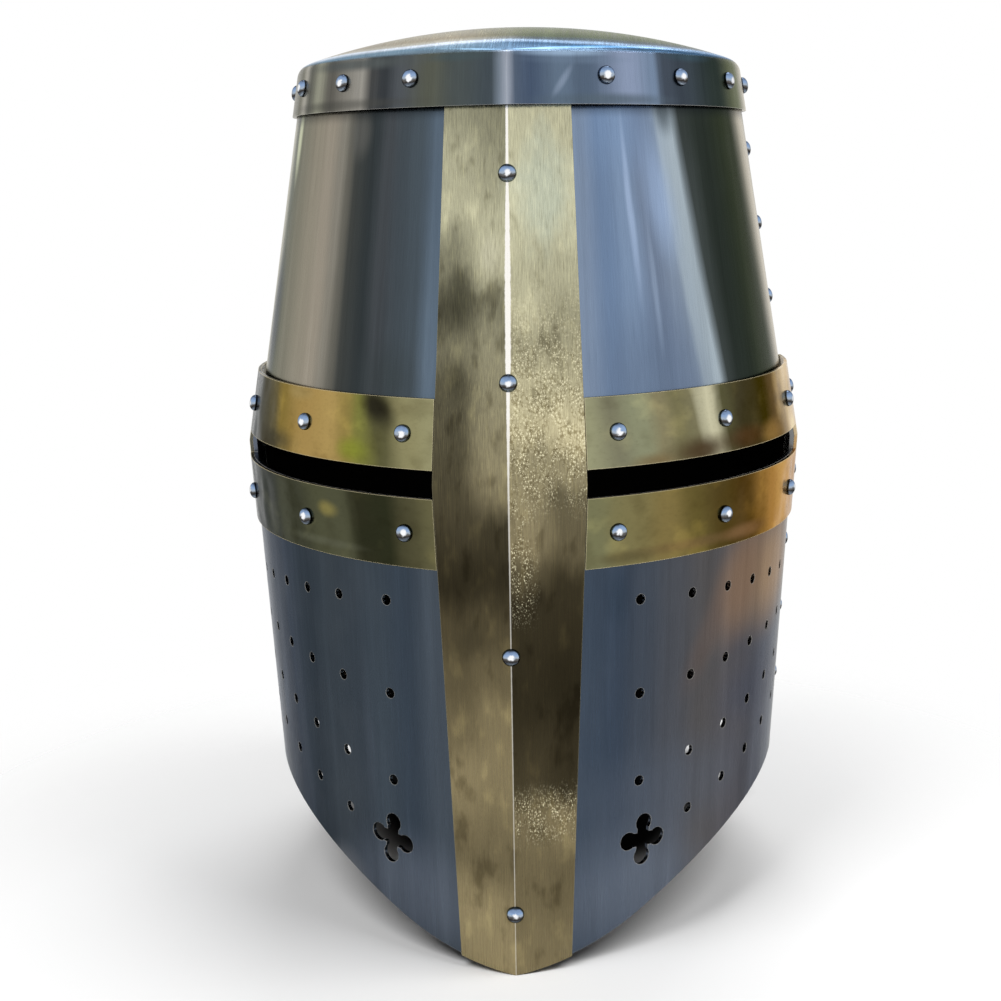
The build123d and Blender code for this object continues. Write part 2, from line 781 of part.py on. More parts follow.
# Chin strap. Its route lies in one plane across the helm; run and stand place points on the left slope,
# down from its shoulder and outward from its middle line.
strap_plane = Plane(origin=(0, strap_y, 0), x_dir=(1, 0, 0), z_dir=(0, -1, 0))
shoulder = Vector(-strap_x, strap_pivot_height - strap_drop)
heel_bend = Vector(-strap_bottom_half_span, strap_bottom_height)
slope = (heel_bend - shoulder).normalized()
outward = Vector(slope.Y, -slope.X)
bottom_turn = math.radians(abs(slope.get_angle(Vector(1, 0, 0))))
bottom_radius = strap_bottom_half_span / math.tan(bottom_turn / 2) * strap_bottom_round_share
wire_stand = strap_leather / 2 + strap_rub + buckle_wire_radius
fold_radius = buckle_wire_radius + buckle_play + fold_leather
fold_top = strap_leather / 2 + strap_leather
tip_run = buckle_heel_run + buckle_length
lie_stand = fold_top + strap_rub + strap_leather / 2


def on_slope(run, stand):
    """Point on the left slope in the strap's plane."""
    return shoulder + slope * run + outward * stand


def slope_plane(run, stand):
    """Plane on the left slope: X down the slope, Z outward."""
    spot = on_slope(run, stand)
    return Plane(origin=(spot.X, strap_y, spot.Y), x_dir=(slope.X, 0, slope.Y), z_dir=(outward.X, 0, outward.Y))


def across_plane(run, stand):
    """Plane across the strap at a point on the left slope: its Z runs along the strap's width."""
    spot = on_slope(run, stand)
    return Plane(origin=(spot.X, strap_y, spot.Y), x_dir=(1, 0, 0), z_dir=(0, -1, 0))


fold_start = buckle_heel_run - fold_length
with BuildPart() as chin_strap_left:
    with BuildSketch(strap_plane):
        with BuildLine():
            FilletPolyline(
                (-strap_x, strap_pivot_height + strap_tab),
                tuple(shoulder)[:2],
                tuple(on_slope(buckle_heel_run, 0))[:2],
                radius=strap_shoulder_radius,
            )
        trace(line_width=strap_leather)
        with BuildLine():
            Line(on_slope(fold_start, strap_leather), on_slope(buckle_heel_run, strap_leather))
        trace(line_width=strap_leather)
        with Locations(on_slope(buckle_heel_run, wire_stand)):
            Circle(fold_radius)
            Circle(buckle_wire_radius + buckle_play, mode=Mode.SUBTRACT)
    extrude(amount=strap_width / 2, both=True)
    with BuildSketch(across_plane(buckle_heel_run, wire_stand)):
        Circle(buckle_wire_radius + buckle_play)
    extrude(amount=strap_width, both=True, mode=Mode.SUBTRACT)
    with Locations(slope_plane(buckle_heel_run + fold_radius / 2, wire_stand)):
        Box(3 * fold_radius, prong_slot_width, 4 * fold_radius, mode=Mode.SUBTRACT)
    drill(pivot_places, strap_shank_radius + hole_clearance)
finish(chin_strap_left.part, "chin_strap_left")

prong_rise = buckle_wire_radius + prong_radius + strap_rub
prong_share = (strap_over_height - wire_stand) / (strap_over_height + prong_rise)
prong_hole_run = buckle_heel_run + buckle_length * prong_share
right_route = [
    (strap_x, strap_pivot_height + strap_tab),
    (strap_x, shoulder.Y),
    (-heel_bend.X, heel_bend.Y),
    tuple(heel_bend)[:2],
    tuple(on_slope(tip_run - strap_rise_lead, 0))[:2],
    tuple(on_slope(buckle_heel_run + strap_crest_lead, strap_over_height))[:2],
    tuple(on_slope(strap_lie_run, lie_stand))[:2],
    tuple(on_slope(strap_end_run, lie_stand))[:2],
]
with BuildPart() as chin_strap_right:
    with BuildSketch(strap_plane):
        with BuildLine():
            right_course = FilletPolyline(
                *right_route,
                radius=[
                    strap_shoulder_radius,
                    bottom_radius,
                    bottom_radius,
                    strap_bend_radius,
                    strap_bend_radius,
                    strap_bend_radius,
                ],
            )
        trace(line_width=strap_leather)
    extrude(amount=strap_width / 2, both=True)
    with Locations(slope_plane(prong_hole_run, strap_over_height * (1 - prong_share))):
        Box(prong_hole_length, prong_hole_width, 4 * fold_radius, mode=Mode.SUBTRACT)
    drill(pivot_places, strap_shank_radius + hole_clearance)
    for step in range(1, spare_hole_count + 1):
        distance = prong_hole_run - strap_end_run + step * spare_hole_pitch
        share = 1 - distance / right_course.length
        spot = right_course @ share
        heading = right_course % share
        drill([Plane(origin=(spot.X, strap_y, spot.Y), z_dir=(-heading.Y, 0, heading.X))], spare_hole_radius)
finish(chin_strap_right.part, "chin_strap_right")


with BuildPart() as strap_keeper:
    keeper_low = -strap_leather / 2 - strap_rub
    keeper_high = lie_stand + strap_leather / 2 + strap_rub
    keeper_plane = slope_plane(keeper_run, (keeper_low + keeper_high) / 2)
    with BuildSketch(Plane(origin=keeper_plane.origin, x_dir=(0, 1, 0), z_dir=keeper_plane.x_dir)):
        inner_width = strap_width + 2 * strap_rub
        inner_height = keeper_high - keeper_low
        Rectangle(inner_width + 2 * keeper_leather, inner_height + 2 * keeper_leather)
        Rectangle(inner_width, inner_height, mode=Mode.SUBTRACT)
    extrude(amount=keeper_length / 2, both=True)
finish(strap_keeper.part, "strap_keeper")

# Buckle: a wire frame with rounded corners, and a prong on its heel bar.
with BuildPart() as buckle_frame:
    frame_plane = slope_plane(buckle_heel_run + buckle_length / 2, wire_stand)
    frame_width = buckle_inner_width + 2 * buckle_wire_radius
    with BuildSketch(frame_plane):
        RectangleRounded(
            buckle_length + 2 * buckle_wire_radius, frame_width + 2 * buckle_wire_radius, buckle_corner_radius
        )
        RectangleRounded(
            buckle_length - 2 * buckle_wire_radius,
            frame_width - 2 * buckle_wire_radius,
            buckle_corner_radius - 2 * buckle_wire_radius,
            mode=Mode.SUBTRACT,
        )
    extrude(amount=buckle_wire_radius, both=True)
    flat_faces = buckle_frame.faces().filter_by(frame_plane)
    fillet(flat_faces.edges(), buckle_wire_radius * wire_round_share)
finish(buckle_frame.part, "buckle_frame")

prong_start = on_slope(buckle_heel_run, wire_stand)
prong_end = on_slope(tip_run + 2 * buckle_wire_radius, wire_stand + prong_rise)
with BuildPart() as buckle_prong:
    with BuildSketch(across_plane(buckle_heel_run, wire_stand)):
        Circle(prong_eye_radius)
    extrude(amount=prong_eye_width / 2, both=True)
    course = (prong_end - prong_start).normalized()
    length = (prong_end - prong_start).length
    with BuildSketch(Plane(origin=(prong_start.X, strap_y, prong_start.Y), z_dir=(course.X, 0, course.Y))):
        Circle(prong_radius)
    extrude(amount=length)
    with BuildSketch(across_plane(buckle_heel_run, wire_stand)):
        Circle(buckle_wire_radius + buckle_play)
    extrude(amount=prong_eye_width, both=True, mode=Mode.SUBTRACT)
finish(buckle_prong.part, "buckle_prong")

# The strap's rivets, with a spacer against the wall and a washer on the inside.
pivot_grip = pivot_head_x - pivot_washer_x + washer_thickness
strap_rivet_list = [rivet_at(place, pivot_grip, shank=strap_shank_radius) for place in pivot_places]
with BuildPart() as strap_rivets:
    add(strap_rivet_list)
finish(strap_rivets.part, "strap_rivets")

strap_hole = strap_shank_radius + hole_clearance
spacer_seat = spacer_outer_x - pivot_head_x - spacer_thickness
spacer_list = [
    ring_at(place.offset(spacer_seat), spacer_radius, strap_hole, spacer_thickness)
    for place in pivot_places
]
with BuildPart() as strap_spacers:
    add(spacer_list)
finish(strap_spacers.part, "strap_spacers")

pivot_washer_list = [
    ring_at(place.offset(-pivot_grip), spacer_radius, strap_hole, washer_thickness - tail_gap)
    for place in pivot_places
]
with BuildPart() as strap_washers:
    add(pivot_washer_list)
finish(strap_washers.part, "strap_washers")
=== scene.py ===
# %% [markdown]
# A great helm in Blender
#
# The object is a flat-topped great helm: steel plates in two tiers, a pointed front, and a brass cross
# whose arms carry the sights. Its solids come from a CAD model, and this file gives them their looks.
# Every cell explains one piece or one finish to a reader who is learning Blender, then builds it.
# All sizes are in millimetres and are turned into metres by MM, because Blender works in metres.

# %% Load the solids
import math

import bmesh
import bpy
import numpy as np
from mathutils import Matrix, Vector
from mathutils.bvhtree import BVHTree


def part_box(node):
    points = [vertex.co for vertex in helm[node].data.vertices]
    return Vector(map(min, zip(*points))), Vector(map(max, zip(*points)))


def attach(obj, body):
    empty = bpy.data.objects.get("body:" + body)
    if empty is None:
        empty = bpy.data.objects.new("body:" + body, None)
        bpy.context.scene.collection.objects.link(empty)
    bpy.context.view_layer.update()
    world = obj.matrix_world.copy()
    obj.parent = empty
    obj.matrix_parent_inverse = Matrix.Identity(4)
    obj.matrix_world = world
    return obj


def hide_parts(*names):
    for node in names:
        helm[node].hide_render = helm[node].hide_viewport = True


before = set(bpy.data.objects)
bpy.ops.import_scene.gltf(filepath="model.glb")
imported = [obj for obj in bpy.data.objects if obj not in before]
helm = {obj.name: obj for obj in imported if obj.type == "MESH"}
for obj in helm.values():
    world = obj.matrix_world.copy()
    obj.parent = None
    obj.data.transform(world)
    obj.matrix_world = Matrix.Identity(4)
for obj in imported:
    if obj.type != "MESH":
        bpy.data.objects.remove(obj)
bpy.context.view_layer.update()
MM = 0.001
AXIS_Y = 8.9
scene = bpy.context.scene


def new_piece(name, data):
    """An object at the origin, in the scene."""
    made = bpy.data.objects.new(name, data)
    scene.collection.objects.link(made)
    return made


print(f"loaded {len(helm)} solids")

# %% [markdown]
# The camera
#
# The photograph was taken from slightly above and a little to the left of the keel. A camera can be
# aimed by hand, but here its place was solved from rivets whose positions on the helm are known, which
# gives the same perspective as the photograph. The camera looks along its own -Z, so its matrix is made
# of three columns: to the right, up, and backwards.

# %% Place the camera
FOCAL_PX = 1697.8
FRAME_PX = 1001
SENSOR_MM = 36.0
yaw, pitch, roll = (math.radians(turn) for turn in (2.992, 10.855, -0.887))
target = Vector((-9.600, AXIS_Y, 143.564)) * MM
distance = 689.36 * MM

ahead = Vector((-math.sin(yaw) * math.cos(pitch), math.cos(yaw) * math.cos(pitch), -math.sin(pitch)))
level = Vector((math.cos(yaw), math.sin(yaw), 0))
upward = level.cross(ahead)
right = level * math.cos(roll) + upward * math.sin(roll)
up = upward * math.cos(roll) - level * math.sin(roll)

lens = bpy.data.cameras.new("photo_camera")
lens.sensor_width = SENSOR_MM
lens.lens = FOCAL_PX * SENSOR_MM / FRAME_PX
camera = new_piece("photo_camera", lens)
place = Matrix((right, up, -ahead)).transposed().to_4x4()
place.translation = target - ahead * distance
camera.matrix_world = place
scene.camera = camera
scene.view_settings.view_transform = "Standard"
print(f"camera with a {lens.lens:.1f} mm lens, {distance:.2f} m away")

# %% [markdown]
# Helpers for shader nodes
#
# A procedural finish is a tree of small nodes. Clicking them together is fine for one material, but a
# dozen finishes share the same steps, so a few helpers add and wire the nodes. A value may be a plain
# number or the output of another node, and the helper does the right thing with either.

# %% Node helpers
def add_node(tree, kind, inputs=None, **settings):
    """Adds a node, sets its options, and fills its inputs with numbers or with other nodes' outputs."""
    made = tree.nodes.new(kind)
    for name, value in settings.items():
        setattr(made, name, value)
    for socket, value in (inputs or {}).items():
        if isinstance(value, bpy.types.NodeSocket):
            tree.links.new(value, made.inputs[socket])
        else:
            made.inputs[socket].default_value = value
    return made


def maths(tree, operation, *values):
    """One Math node."""
    return add_node(tree, "ShaderNodeMath", dict(enumerate(values)), operation=operation).outputs[0]


def vector_maths(tree, operation, *values, output=0, **more):
    """One Vector Math node."""
    inputs = {**dict(enumerate(values)), **more}
    return add_node(tree, "ShaderNodeVectorMath", inputs, operation=operation).outputs[output]


def combine(tree, x=0.0, y=0.0, z=0.0):
    """A vector from three values."""
    return add_node(tree, "ShaderNodeCombineXYZ", {0: x, 1: y, 2: z}).outputs[0]



def soft_step(tree, value, low, high, start=0.0, end=1.0):
    """Runs smoothly from start to end while the value goes from low to high."""
    inputs = {"Value": value, "From Min": low, "From Max": high, "To Min": start, "To Max": end}
    return add_node(tree, "ShaderNodeMapRange", inputs, interpolation_type="SMOOTHSTEP").outputs[0]


def mix(tree, share, first, second, blend="MIX"):
    """Mixes two colours."""
    inputs = {0: share, 6: paint(first), 7: paint(second)}
    return add_node(tree, "ShaderNodeMix", inputs, data_type="RGBA", blend_type=blend).outputs[2]


def layer(tree, colour, value, low, high, strength, over, blend="MIX"):
    """Lays a colour over another, more and more as the value goes from low to high."""
    return mix(tree, soft_step(tree, value, low, high, 0.0, strength), colour, over, blend)


def shades(rows):
    """Rows whose last three numbers, red, green and blue in thousandths, are made one colour."""
    return [(*row[:-3], tuple(part / 1000 for part in row[-3:])) for row in rows]


def paint(colour):
    """A colour with its alpha, or the node output as it is."""
    return colour if isinstance(colour, bpy.types.NodeSocket) else (*colour[:3], 1.0)


def ramp(tree, value, stops, easing="EASE"):
    """A Color Ramp from (place, colour) stops."""
    made = add_node(tree, "ShaderNodeValToRGB", {0: value})
    band = made.color_ramp
    band.interpolation = easing
    while len(band.elements) < len(stops):
        band.elements.new(0.5)
    for element, (spot, colour) in zip(band.elements, sorted(stops)):
        element.position = spot
        element.color = paint(colour)
    return made.outputs[0]


def cloud(tree, vector, size=1.0, detail=2.0, rough=0.5, warp=0.0):
    """A Noise Texture from 0 to 1."""
    inputs = {"Vector": vector, "Scale": size, "Detail": detail, "Roughness": rough, "Distortion": warp}
    return add_node(tree, "ShaderNodeTexNoise", inputs).outputs[0]


def new_material(name):
    """A material with an empty tree."""
    material = bpy.data.materials.new(name)
    material.use_nodes = True
    material.node_tree.nodes.clear()
    return material


# %% [markdown]
# The studio
#
# The photograph's background is plain white and its light is soft. The world gives both: rays that come
# straight from the camera or off polished metal see pure white, and rays that light the matt leather get
# a dimmer grey, so nothing burns out. Light Path tells the two apart. Three large, weak area lamps light
# the leather and the floor, and only the one behind shows in the metal. The floor is pale, keeps the
# helm's shadow, and fades into the white further out. Under the helm's back half a painted shadow makes it
# dark, where a look through the holes in front meets it, so most of them show the same black as in the
# photograph. From below the floor is clear, so that the helm can be looked into.

# %% World, lamps and floor
DIM_LIGHT = 0.14
LAMP_SIZE = 1.2
LAMP_AIM = Vector((0, 0, 0.17))
FLOOR_HALF = 3.0
FLOOR_PALE, FLOOR_PAINTED_SHADOW = (0.94,) * 3, (0.015,) * 3
FADE_FROM, FADE_TO = 0.11, 0.34

world = bpy.data.worlds.new("plain_studio")
scene.world = world
world.use_nodes = True
sky = world.node_tree
sky.nodes.clear()
rays = add_node(sky, "ShaderNodeLightPath")
seen = maths(sky, "ADD", rays.outputs["Is Camera Ray"], rays.outputs["Is Glossy Ray"])
seen = maths(sky, "ADD", seen, rays.outputs["Is Transmission Ray"])
dim = add_node(sky, "ShaderNodeBackground", {"Color": (1, 1, 1, 1), "Strength": DIM_LIGHT})
white = add_node(sky, "ShaderNodeBackground", {"Color": (1, 1, 1, 1), "Strength": 1.0})
share = maths(sky, "MINIMUM", seen, 1.0)
both = add_node(sky, "ShaderNodeMixShader", {0: share, 1: dim.outputs[0], 2: white.outputs[0]})
add_node(sky, "ShaderNodeOutputWorld", {0: both.outputs[0]})


def soft_lamp(name, spot, power, mirrored=False):
    """A large square lamp that faces the helm, and that polished metal mirrors or not."""
    lamp = bpy.data.lights.new(name, "AREA")
    lamp.shape = "SQUARE"
    lamp.size = LAMP_SIZE
    lamp.energy = power
    holder = new_piece(name, lamp)
    holder.location = spot
    holder.rotation_euler = (LAMP_AIM - Vector(spot)).to_track_quat("-Z", "Y").to_euler()
    holder.visible_glossy = mirrored


soft_lamp("lamp_front_left", (-0.9, -1.0, 2.0), 30.0)
soft_lamp("lamp_right", (1.2, -0.4, 1.8), 24.0)
soft_lamp("lamp_behind", (0.2, 1.2, 1.9), 21.0, mirrored=True)

floor_mesh = bpy.data.meshes.new("studio_floor")
corners = [(x * FLOOR_HALF, y * FLOOR_HALF, 0) for x, y in ((-1, -1), (1, -1), (1, 1), (-1, 1))]
floor_mesh.from_pydata(corners, [], [(0, 1, 2, 3)])
floor = new_piece("studio_floor", floor_mesh)
floor_finish = new_material("studio_floor_paint")
tree = floor_finish.node_tree
spot = add_node(tree, "ShaderNodeTexCoord").outputs["Object"]
reach = vector_maths(tree, "LENGTH", spot, output=1)
far = soft_step(tree, reach, FADE_FROM, FADE_TO)
parts = add_node(tree, "ShaderNodeSeparateXYZ", {0: spot}).outputs
# Painted shadow: the floor is painted dark under the helm's back half, where a look through the holes meets it.
widest = maths(tree, "MINIMUM", maths(tree, "MULTIPLY_ADD", parts[1], 0.5, 0.072), 0.102)
across = maths(tree, "DIVIDE", parts[0], widest)
along = maths(tree, "DIVIDE", maths(tree, "SUBTRACT", parts[1], 0.052), 0.075)
below = combine(tree, maths(tree, "POWER", across, 2.0), maths(tree, "POWER", along, 4.0))
painted_shadow = soft_step(tree, vector_maths(tree, "LENGTH", below, output=1), 0.45, 1.0)
floor_and_painted_shadow = mix(tree, painted_shadow, FLOOR_PAINTED_SHADOW, FLOOR_PALE)
matt = add_node(tree, "ShaderNodeBsdfDiffuse", {"Color": floor_and_painted_shadow})
clear = add_node(tree, "ShaderNodeBsdfTransparent")
from_below = add_node(tree, "ShaderNodeNewGeometry").outputs["Backfacing"]
far = maths(tree, "MAXIMUM", far, from_below)
cover = add_node(tree, "ShaderNodeMixShader", {0: far, 1: matt.outputs[0], 2: clear.outputs[0]})
add_node(tree, "ShaderNodeOutputMaterial", {0: cover.outputs[0]})
floor_mesh.materials.append(floor_finish)
print("studio: 3 lamps, a pale floor and a white background")

# %% [markdown]
# Where a colour goes on a curved wall
#
# The wall is nearly a cone, so a place on it is best told by its azimuth, which is the turn around the
# helm's axis from the keel in front, and by its height. Both come from Object coordinates, which don't
# move with the camera. Polished steel mirrors its surroundings in broad upright bands, and on this
# helm they are so strong that they are painted: a Color Ramp over the azimuth gives the bands, and soft
# patches give what is only in one place. The patch is a node group, because it is used dozens of times.

# %% A soft patch as a node group
patch_group = bpy.data.node_groups.new("soft_patch", "ShaderNodeTree")
PATCH_INPUTS = ("Azimuth", "Height", "At azimuth", "At height", "Half width", "Half height", "Lean", "Hardness")
PATCH_HARDNESS = 0.15
for name in PATCH_INPUTS:
    patch_group.interface.new_socket(name, in_out="INPUT", socket_type="NodeSocketFloat")
patch_group.interface.new_socket("Share", in_out="OUTPUT", socket_type="NodeSocketFloat")
inside = patch_group.nodes.new("NodeGroupInput").outputs
rise = maths(patch_group, "SUBTRACT", inside["Height"], inside["At height"])
centre = maths(patch_group, "MULTIPLY_ADD", rise, inside["Lean"], inside["At azimuth"])
across = maths(patch_group, "SUBTRACT", inside["Azimuth"], centre)
across = maths(patch_group, "POWER", maths(patch_group, "DIVIDE", across, inside["Half width"]), 2.0)
along = maths(patch_group, "POWER", maths(patch_group, "DIVIDE", rise, inside["Half height"]), 2.0)
out = maths(patch_group, "SQRT", maths(patch_group, "ADD", across, along))
share = soft_step(patch_group, out, inside["Hardness"], 1.0, 1.0, 0.0)
patch_group.links.new(share, patch_group.nodes.new("NodeGroupOutput").inputs[0])
print("soft patch group:", len(patch_group.nodes), "nodes")

# %% [markdown]
# A finish that knows its place on the helm
#
# This small class starts a material and keeps the outputs that every finish asks for: the point in
# millimetres, the azimuth in degrees, the height, and whether a face looks outward. It also closes the
# material: a Bevel node rounds the solids' sharp edges in the shading, and Bump adds the fine relief.
# A metal whose edge shines white at a grazing angle would melt into the white background, so the
# shader's Specular Tint is kept down.

# %% The finish class
MM_PER_DEGREE = 1.8


class Finish:
    """A material that is being built."""

    def __init__(self, name):
        self.material = new_material(name)
        self.tree = self.material.node_tree
        seat = add_node(self.tree, "ShaderNodeTexCoord")
        self.point = vector_maths(self.tree, "SCALE", seat.outputs["Object"], Scale=1 / MM)
        self.x, self.y, self.z = add_node(self.tree, "ShaderNodeSeparateXYZ", {0: self.point}).outputs
        self.normal = seat.outputs["Normal"]
        self.depth = maths(self.tree, "SUBTRACT", AXIS_Y, self.y)
        turn = maths(self.tree, "ARCTAN2", self.x, self.depth)
        self.azimuth = maths(self.tree, "MULTIPLY", turn, 180 / math.pi)

    def facing(self, lift=0.0, from_height=0.0):
        """Above 0 where a face looks away from the helm's axis."""
        tree = self.tree
        above = maths(tree, "MAXIMUM", maths(tree, "SUBTRACT", self.z, from_height), 0.0)
        away = combine(tree, self.x, maths(tree, "MULTIPLY", self.depth, -1.0), maths(tree, "MULTIPLY", above, lift))
        away = vector_maths(tree, "NORMALIZE", away)
        return vector_maths(tree, "DOT_PRODUCT", self.normal, away, output=1)

    def cloud(self, scale, **look):
        """Noise over the point, with a scale for each direction."""
        return cloud(self.tree, vector_maths(self.tree, "MULTIPLY", self.point, scale), **look)

    def wavering(self, amount, size=0.02):
        """The azimuth, pushed about by a slow noise, so that painted bands aren't ruled lines."""
        slow = self.cloud((size, size, size * 0.45), detail=3.0)
        return maths(self.tree, "MULTIPLY_ADD", maths(self.tree, "SUBTRACT", slow, 0.5), amount, self.azimuth)

    def bands(self, azimuth, stops):
        """A ramp whose stops are rows of an azimuth in degrees and a colour."""
        share = maths(self.tree, "MULTIPLY_ADD", azimuth, 1 / 360, 0.5)
        return ramp(self.tree, share, [((turn + 180) / 360, colour) for turn, colour in shades(stops)])

    def patches(self, base, azimuth, spots):
        """Lays soft patches on a colour, each a row of PATCH_INPUTS' places and sizes, a strength and a colour."""
        for *shape, strength, colour in shades(spots):
            values = dict(zip(PATCH_INPUTS, (azimuth, self.z, *shape, PATCH_HARDNESS)))
            share = add_node(self.tree, "ShaderNodeGroup", values, node_tree=patch_group).outputs[0]
            base = mix(self.tree, maths(self.tree, "MULTIPLY", share, strength), base, colour)
        return base

    def stretched(self, across, along):
        """Coordinates for grain that runs up the wall: so many marks per mm across and along."""
        wide = maths(self.tree, "MULTIPLY", self.azimuth, MM_PER_DEGREE * across)
        return combine(self.tree, wide, 0.0, maths(self.tree, "MULTIPLY", self.z, along))

    def tint(self, colour, grey):
        """The colour at a grazing angle: the colour itself on a floor of grey."""
        tint = vector_maths(self.tree, "MULTIPLY_ADD", colour, (0.9, 0.9, 0.9), combine(self.tree, grey, grey, grey))
        return vector_maths(self.tree, "MINIMUM", tint, (1, 1, 1))

    def edge_share(self, radius=0.35):
        """1 along sharp edges, 0 on open surfaces."""
        soft = add_node(self.tree, "ShaderNodeBevel", {"Radius": radius * MM}, samples=4).outputs[0]
        true = add_node(self.tree, "ShaderNodeNewGeometry").outputs["Normal"]
        same = vector_maths(self.tree, "DOT_PRODUCT", soft, true, output=1)
        return soft_step(self.tree, same, 0.995, 0.9, 0.0, 1.0)

    def close(self, colour, rough, relief=(), bevel=0.3, metal=1.0, tint=(0.35, 0.35, 0.35), **more):
        """Adds the shader: relief is a list of (height output, distance in mm)."""
        tree = self.tree
        normal = None
        if bevel:
            normal = add_node(tree, "ShaderNodeBevel", {"Radius": bevel * MM}, samples=4).outputs[0]
        for height, size in relief:
            inputs = {"Height": height, "Distance": size * MM, "Strength": 1.0}
            if normal is not None:
                inputs["Normal"] = normal
            normal = add_node(tree, "ShaderNodeBump", inputs).outputs[0]
        inputs = {"Base Color": paint(colour), "Roughness": rough, "Metallic": metal, "Specular Tint": paint(tint)}
        if normal is not None:
            inputs["Normal"] = normal
        shader = add_node(tree, "ShaderNodeBsdfPrincipled", {**inputs, **more})
        add_node(tree, "ShaderNodeOutputMaterial", {0: shader.outputs[0]})
        return self.material


def dress(finish, *names):
    """Gives solids that stay as they are a finish."""
    for name in names:
        for slot in helm[name].material_slots:
            slot.material = finish
    print(f"{finish.name}: {', '.join(names)}")


# %% [markdown]
# Polished steel
#
# All five plates are the same steel, ground up and down and then polished, so they share one recipe.
# The bands of painted reflection come first. Over them lie long faint grinding marks, which change the
# colour a little, the gloss a little more, and stand a few hundredths of a millimetre high. A slow swell of
# the surface bends the highlights, as on any sheet that was shaped by hand. The inside was never polished,
# and it is painted nearly black as painted shade. Edges are rubbed bright, and their brightness is partly
# a painted highlight. Under the crown's flange the top of the upper plates gets a painted shade. The
# Specular Tint is the colour that a metal takes at a grazing angle. White would wash the sides out and the
# colour itself would stain them, so it is the colour on a floor of grey.

# %% The steel recipe
SLANT_PIVOT = 215.0
PAINTED_INSIDE_SHADE = (0.012, 0.011, 0.010)
RUBBED_EDGE_AND_HIGHLIGHT = (0.62, 0.60, 0.55)
GREY_FLOOR, DOME_GREY = 0.46, 0.24


def polished_steel(name, bands, spots, lift=0.0, from_height=0.0, rim_shade=None, waver=3.0, dome=None, slant=0.0):
    """Steel with painted bands over the azimuth and soft patches."""
    finish = Finish(name)
    tree = finish.tree
    azimuth = finish.wavering(waver)
    if slant:
        rise = maths(tree, "MULTIPLY", maths(tree, "SUBTRACT", finish.z, SLANT_PIVOT), slant)
        azimuth = maths(tree, "MULTIPLY_ADD", soft_step(tree, azimuth, 16.0, 34.0), rise, azimuth)
    # Painted reflections: bands over the azimuth and soft patches.
    colour = finish.patches(finish.bands(azimuth, bands), azimuth, spots)
    grain_at = finish.stretched
    if dome is not None:
        on_dome = soft_step(tree, finish.z, dome[0], dome[1])
        # On the dome, the painted reflection of the sky.
        colour = mix(tree, on_dome, colour, painted_dome_reflection(finish))

        def grain_at(across, along):
            """Grain that runs straight back on the dome, where an azimuth would draw rays."""
            top = vector_maths(tree, "MULTIPLY", finish.point, (across, along, 0.0))
            return mix(tree, on_dome, finish.stretched(across, along), top)

    sweep = cloud(tree, grain_at(0.11, 0.004), detail=4.0, rough=0.62)
    colour = layer(tree, colour, sweep, 0.5, 0.75, 0.22, (1.0, 1.0, 1.0), "SOFT_LIGHT")
    colour = layer(tree, colour, sweep, 0.5, 0.25, 0.32, (0.45, 0.45, 0.45), "MULTIPLY")
    grain = cloud(tree, grain_at(2.2, 0.03), detail=3.0, rough=0.7)
    fine = cloud(tree, grain_at(6.0, 0.12), detail=2.0, rough=0.6)
    colour = layer(tree, colour, grain, 0.45, 0.75, 0.14, (0.9, 0.95, 1.0), "SOFT_LIGHT")
    colour = layer(tree, colour, fine, 0.6, 0.25, 0.12, (0.1, 0.1, 0.1), "MULTIPLY")
    haze = cloud(tree, finish.point, size=0.02, detail=3.0)
    colour = layer(tree, colour, haze, 0.5, 0.8, 0.03, (0.42, 0.44, 0.46))
    # Painted shade: darker towards the top of the upper plates, under the crown's flange.
    if rim_shade:
        colour = layer(tree, colour, finish.z, *rim_shade, 0.7, (0.012, 0.015, 0.018))
    # Edges rubbed bright, partly a painted highlight.
    colour = mix(tree, maths(tree, "MULTIPLY", finish.edge_share(), 0.55), colour, RUBBED_EDGE_AND_HIGHLIGHT)
    # Painted shade: the inside faces are painted nearly black.
    outside = soft_step(tree, finish.facing(lift, from_height), -0.45, -0.2)
    colour = mix(tree, outside, PAINTED_INSIDE_SHADE, colour)
    rough = soft_step(tree, grain, 0.3, 0.8, 0.20, 0.32)
    rough = maths(tree, "MAXIMUM", rough, maths(tree, "MULTIPLY_ADD", outside, -0.7, 0.7))
    swell = cloud(tree, grain_at(0.045, 0.012), detail=1.0)
    grey = GREY_FLOOR
    if dome is not None:
        grey = maths(tree, "MULTIPLY_ADD", on_dome, DOME_GREY - GREY_FLOOR, GREY_FLOOR)
    return finish.close(colour, rough, [(swell, 0.5), (grain, 0.015), (fine, 0.006)], tint=finish.tint(colour, grey))


# %% [markdown]
# Colours of the steel bands
#
# The list goes round each plate from the back on the left, over the keel in front at 0 degrees, to the
# back on the right. The colours were judged: beige where the steel mirrors a wall, blue where it
# mirrors the sky, and black-green where it mirrors trees. A band is a row of the azimuth, then red, green
# and blue in thousandths. A soft patch is a row of its azimuth, height, half width in degrees, half height
# in mm, lean and strength, and then its colour.

# %% Upper plates
NIGHT = (28, 36, 42)
SLATE = (62, 82, 105)
BLUE = (170, 220, 330)
BEIGE = (235, 212, 178)
CREAM = (500, 460, 380)

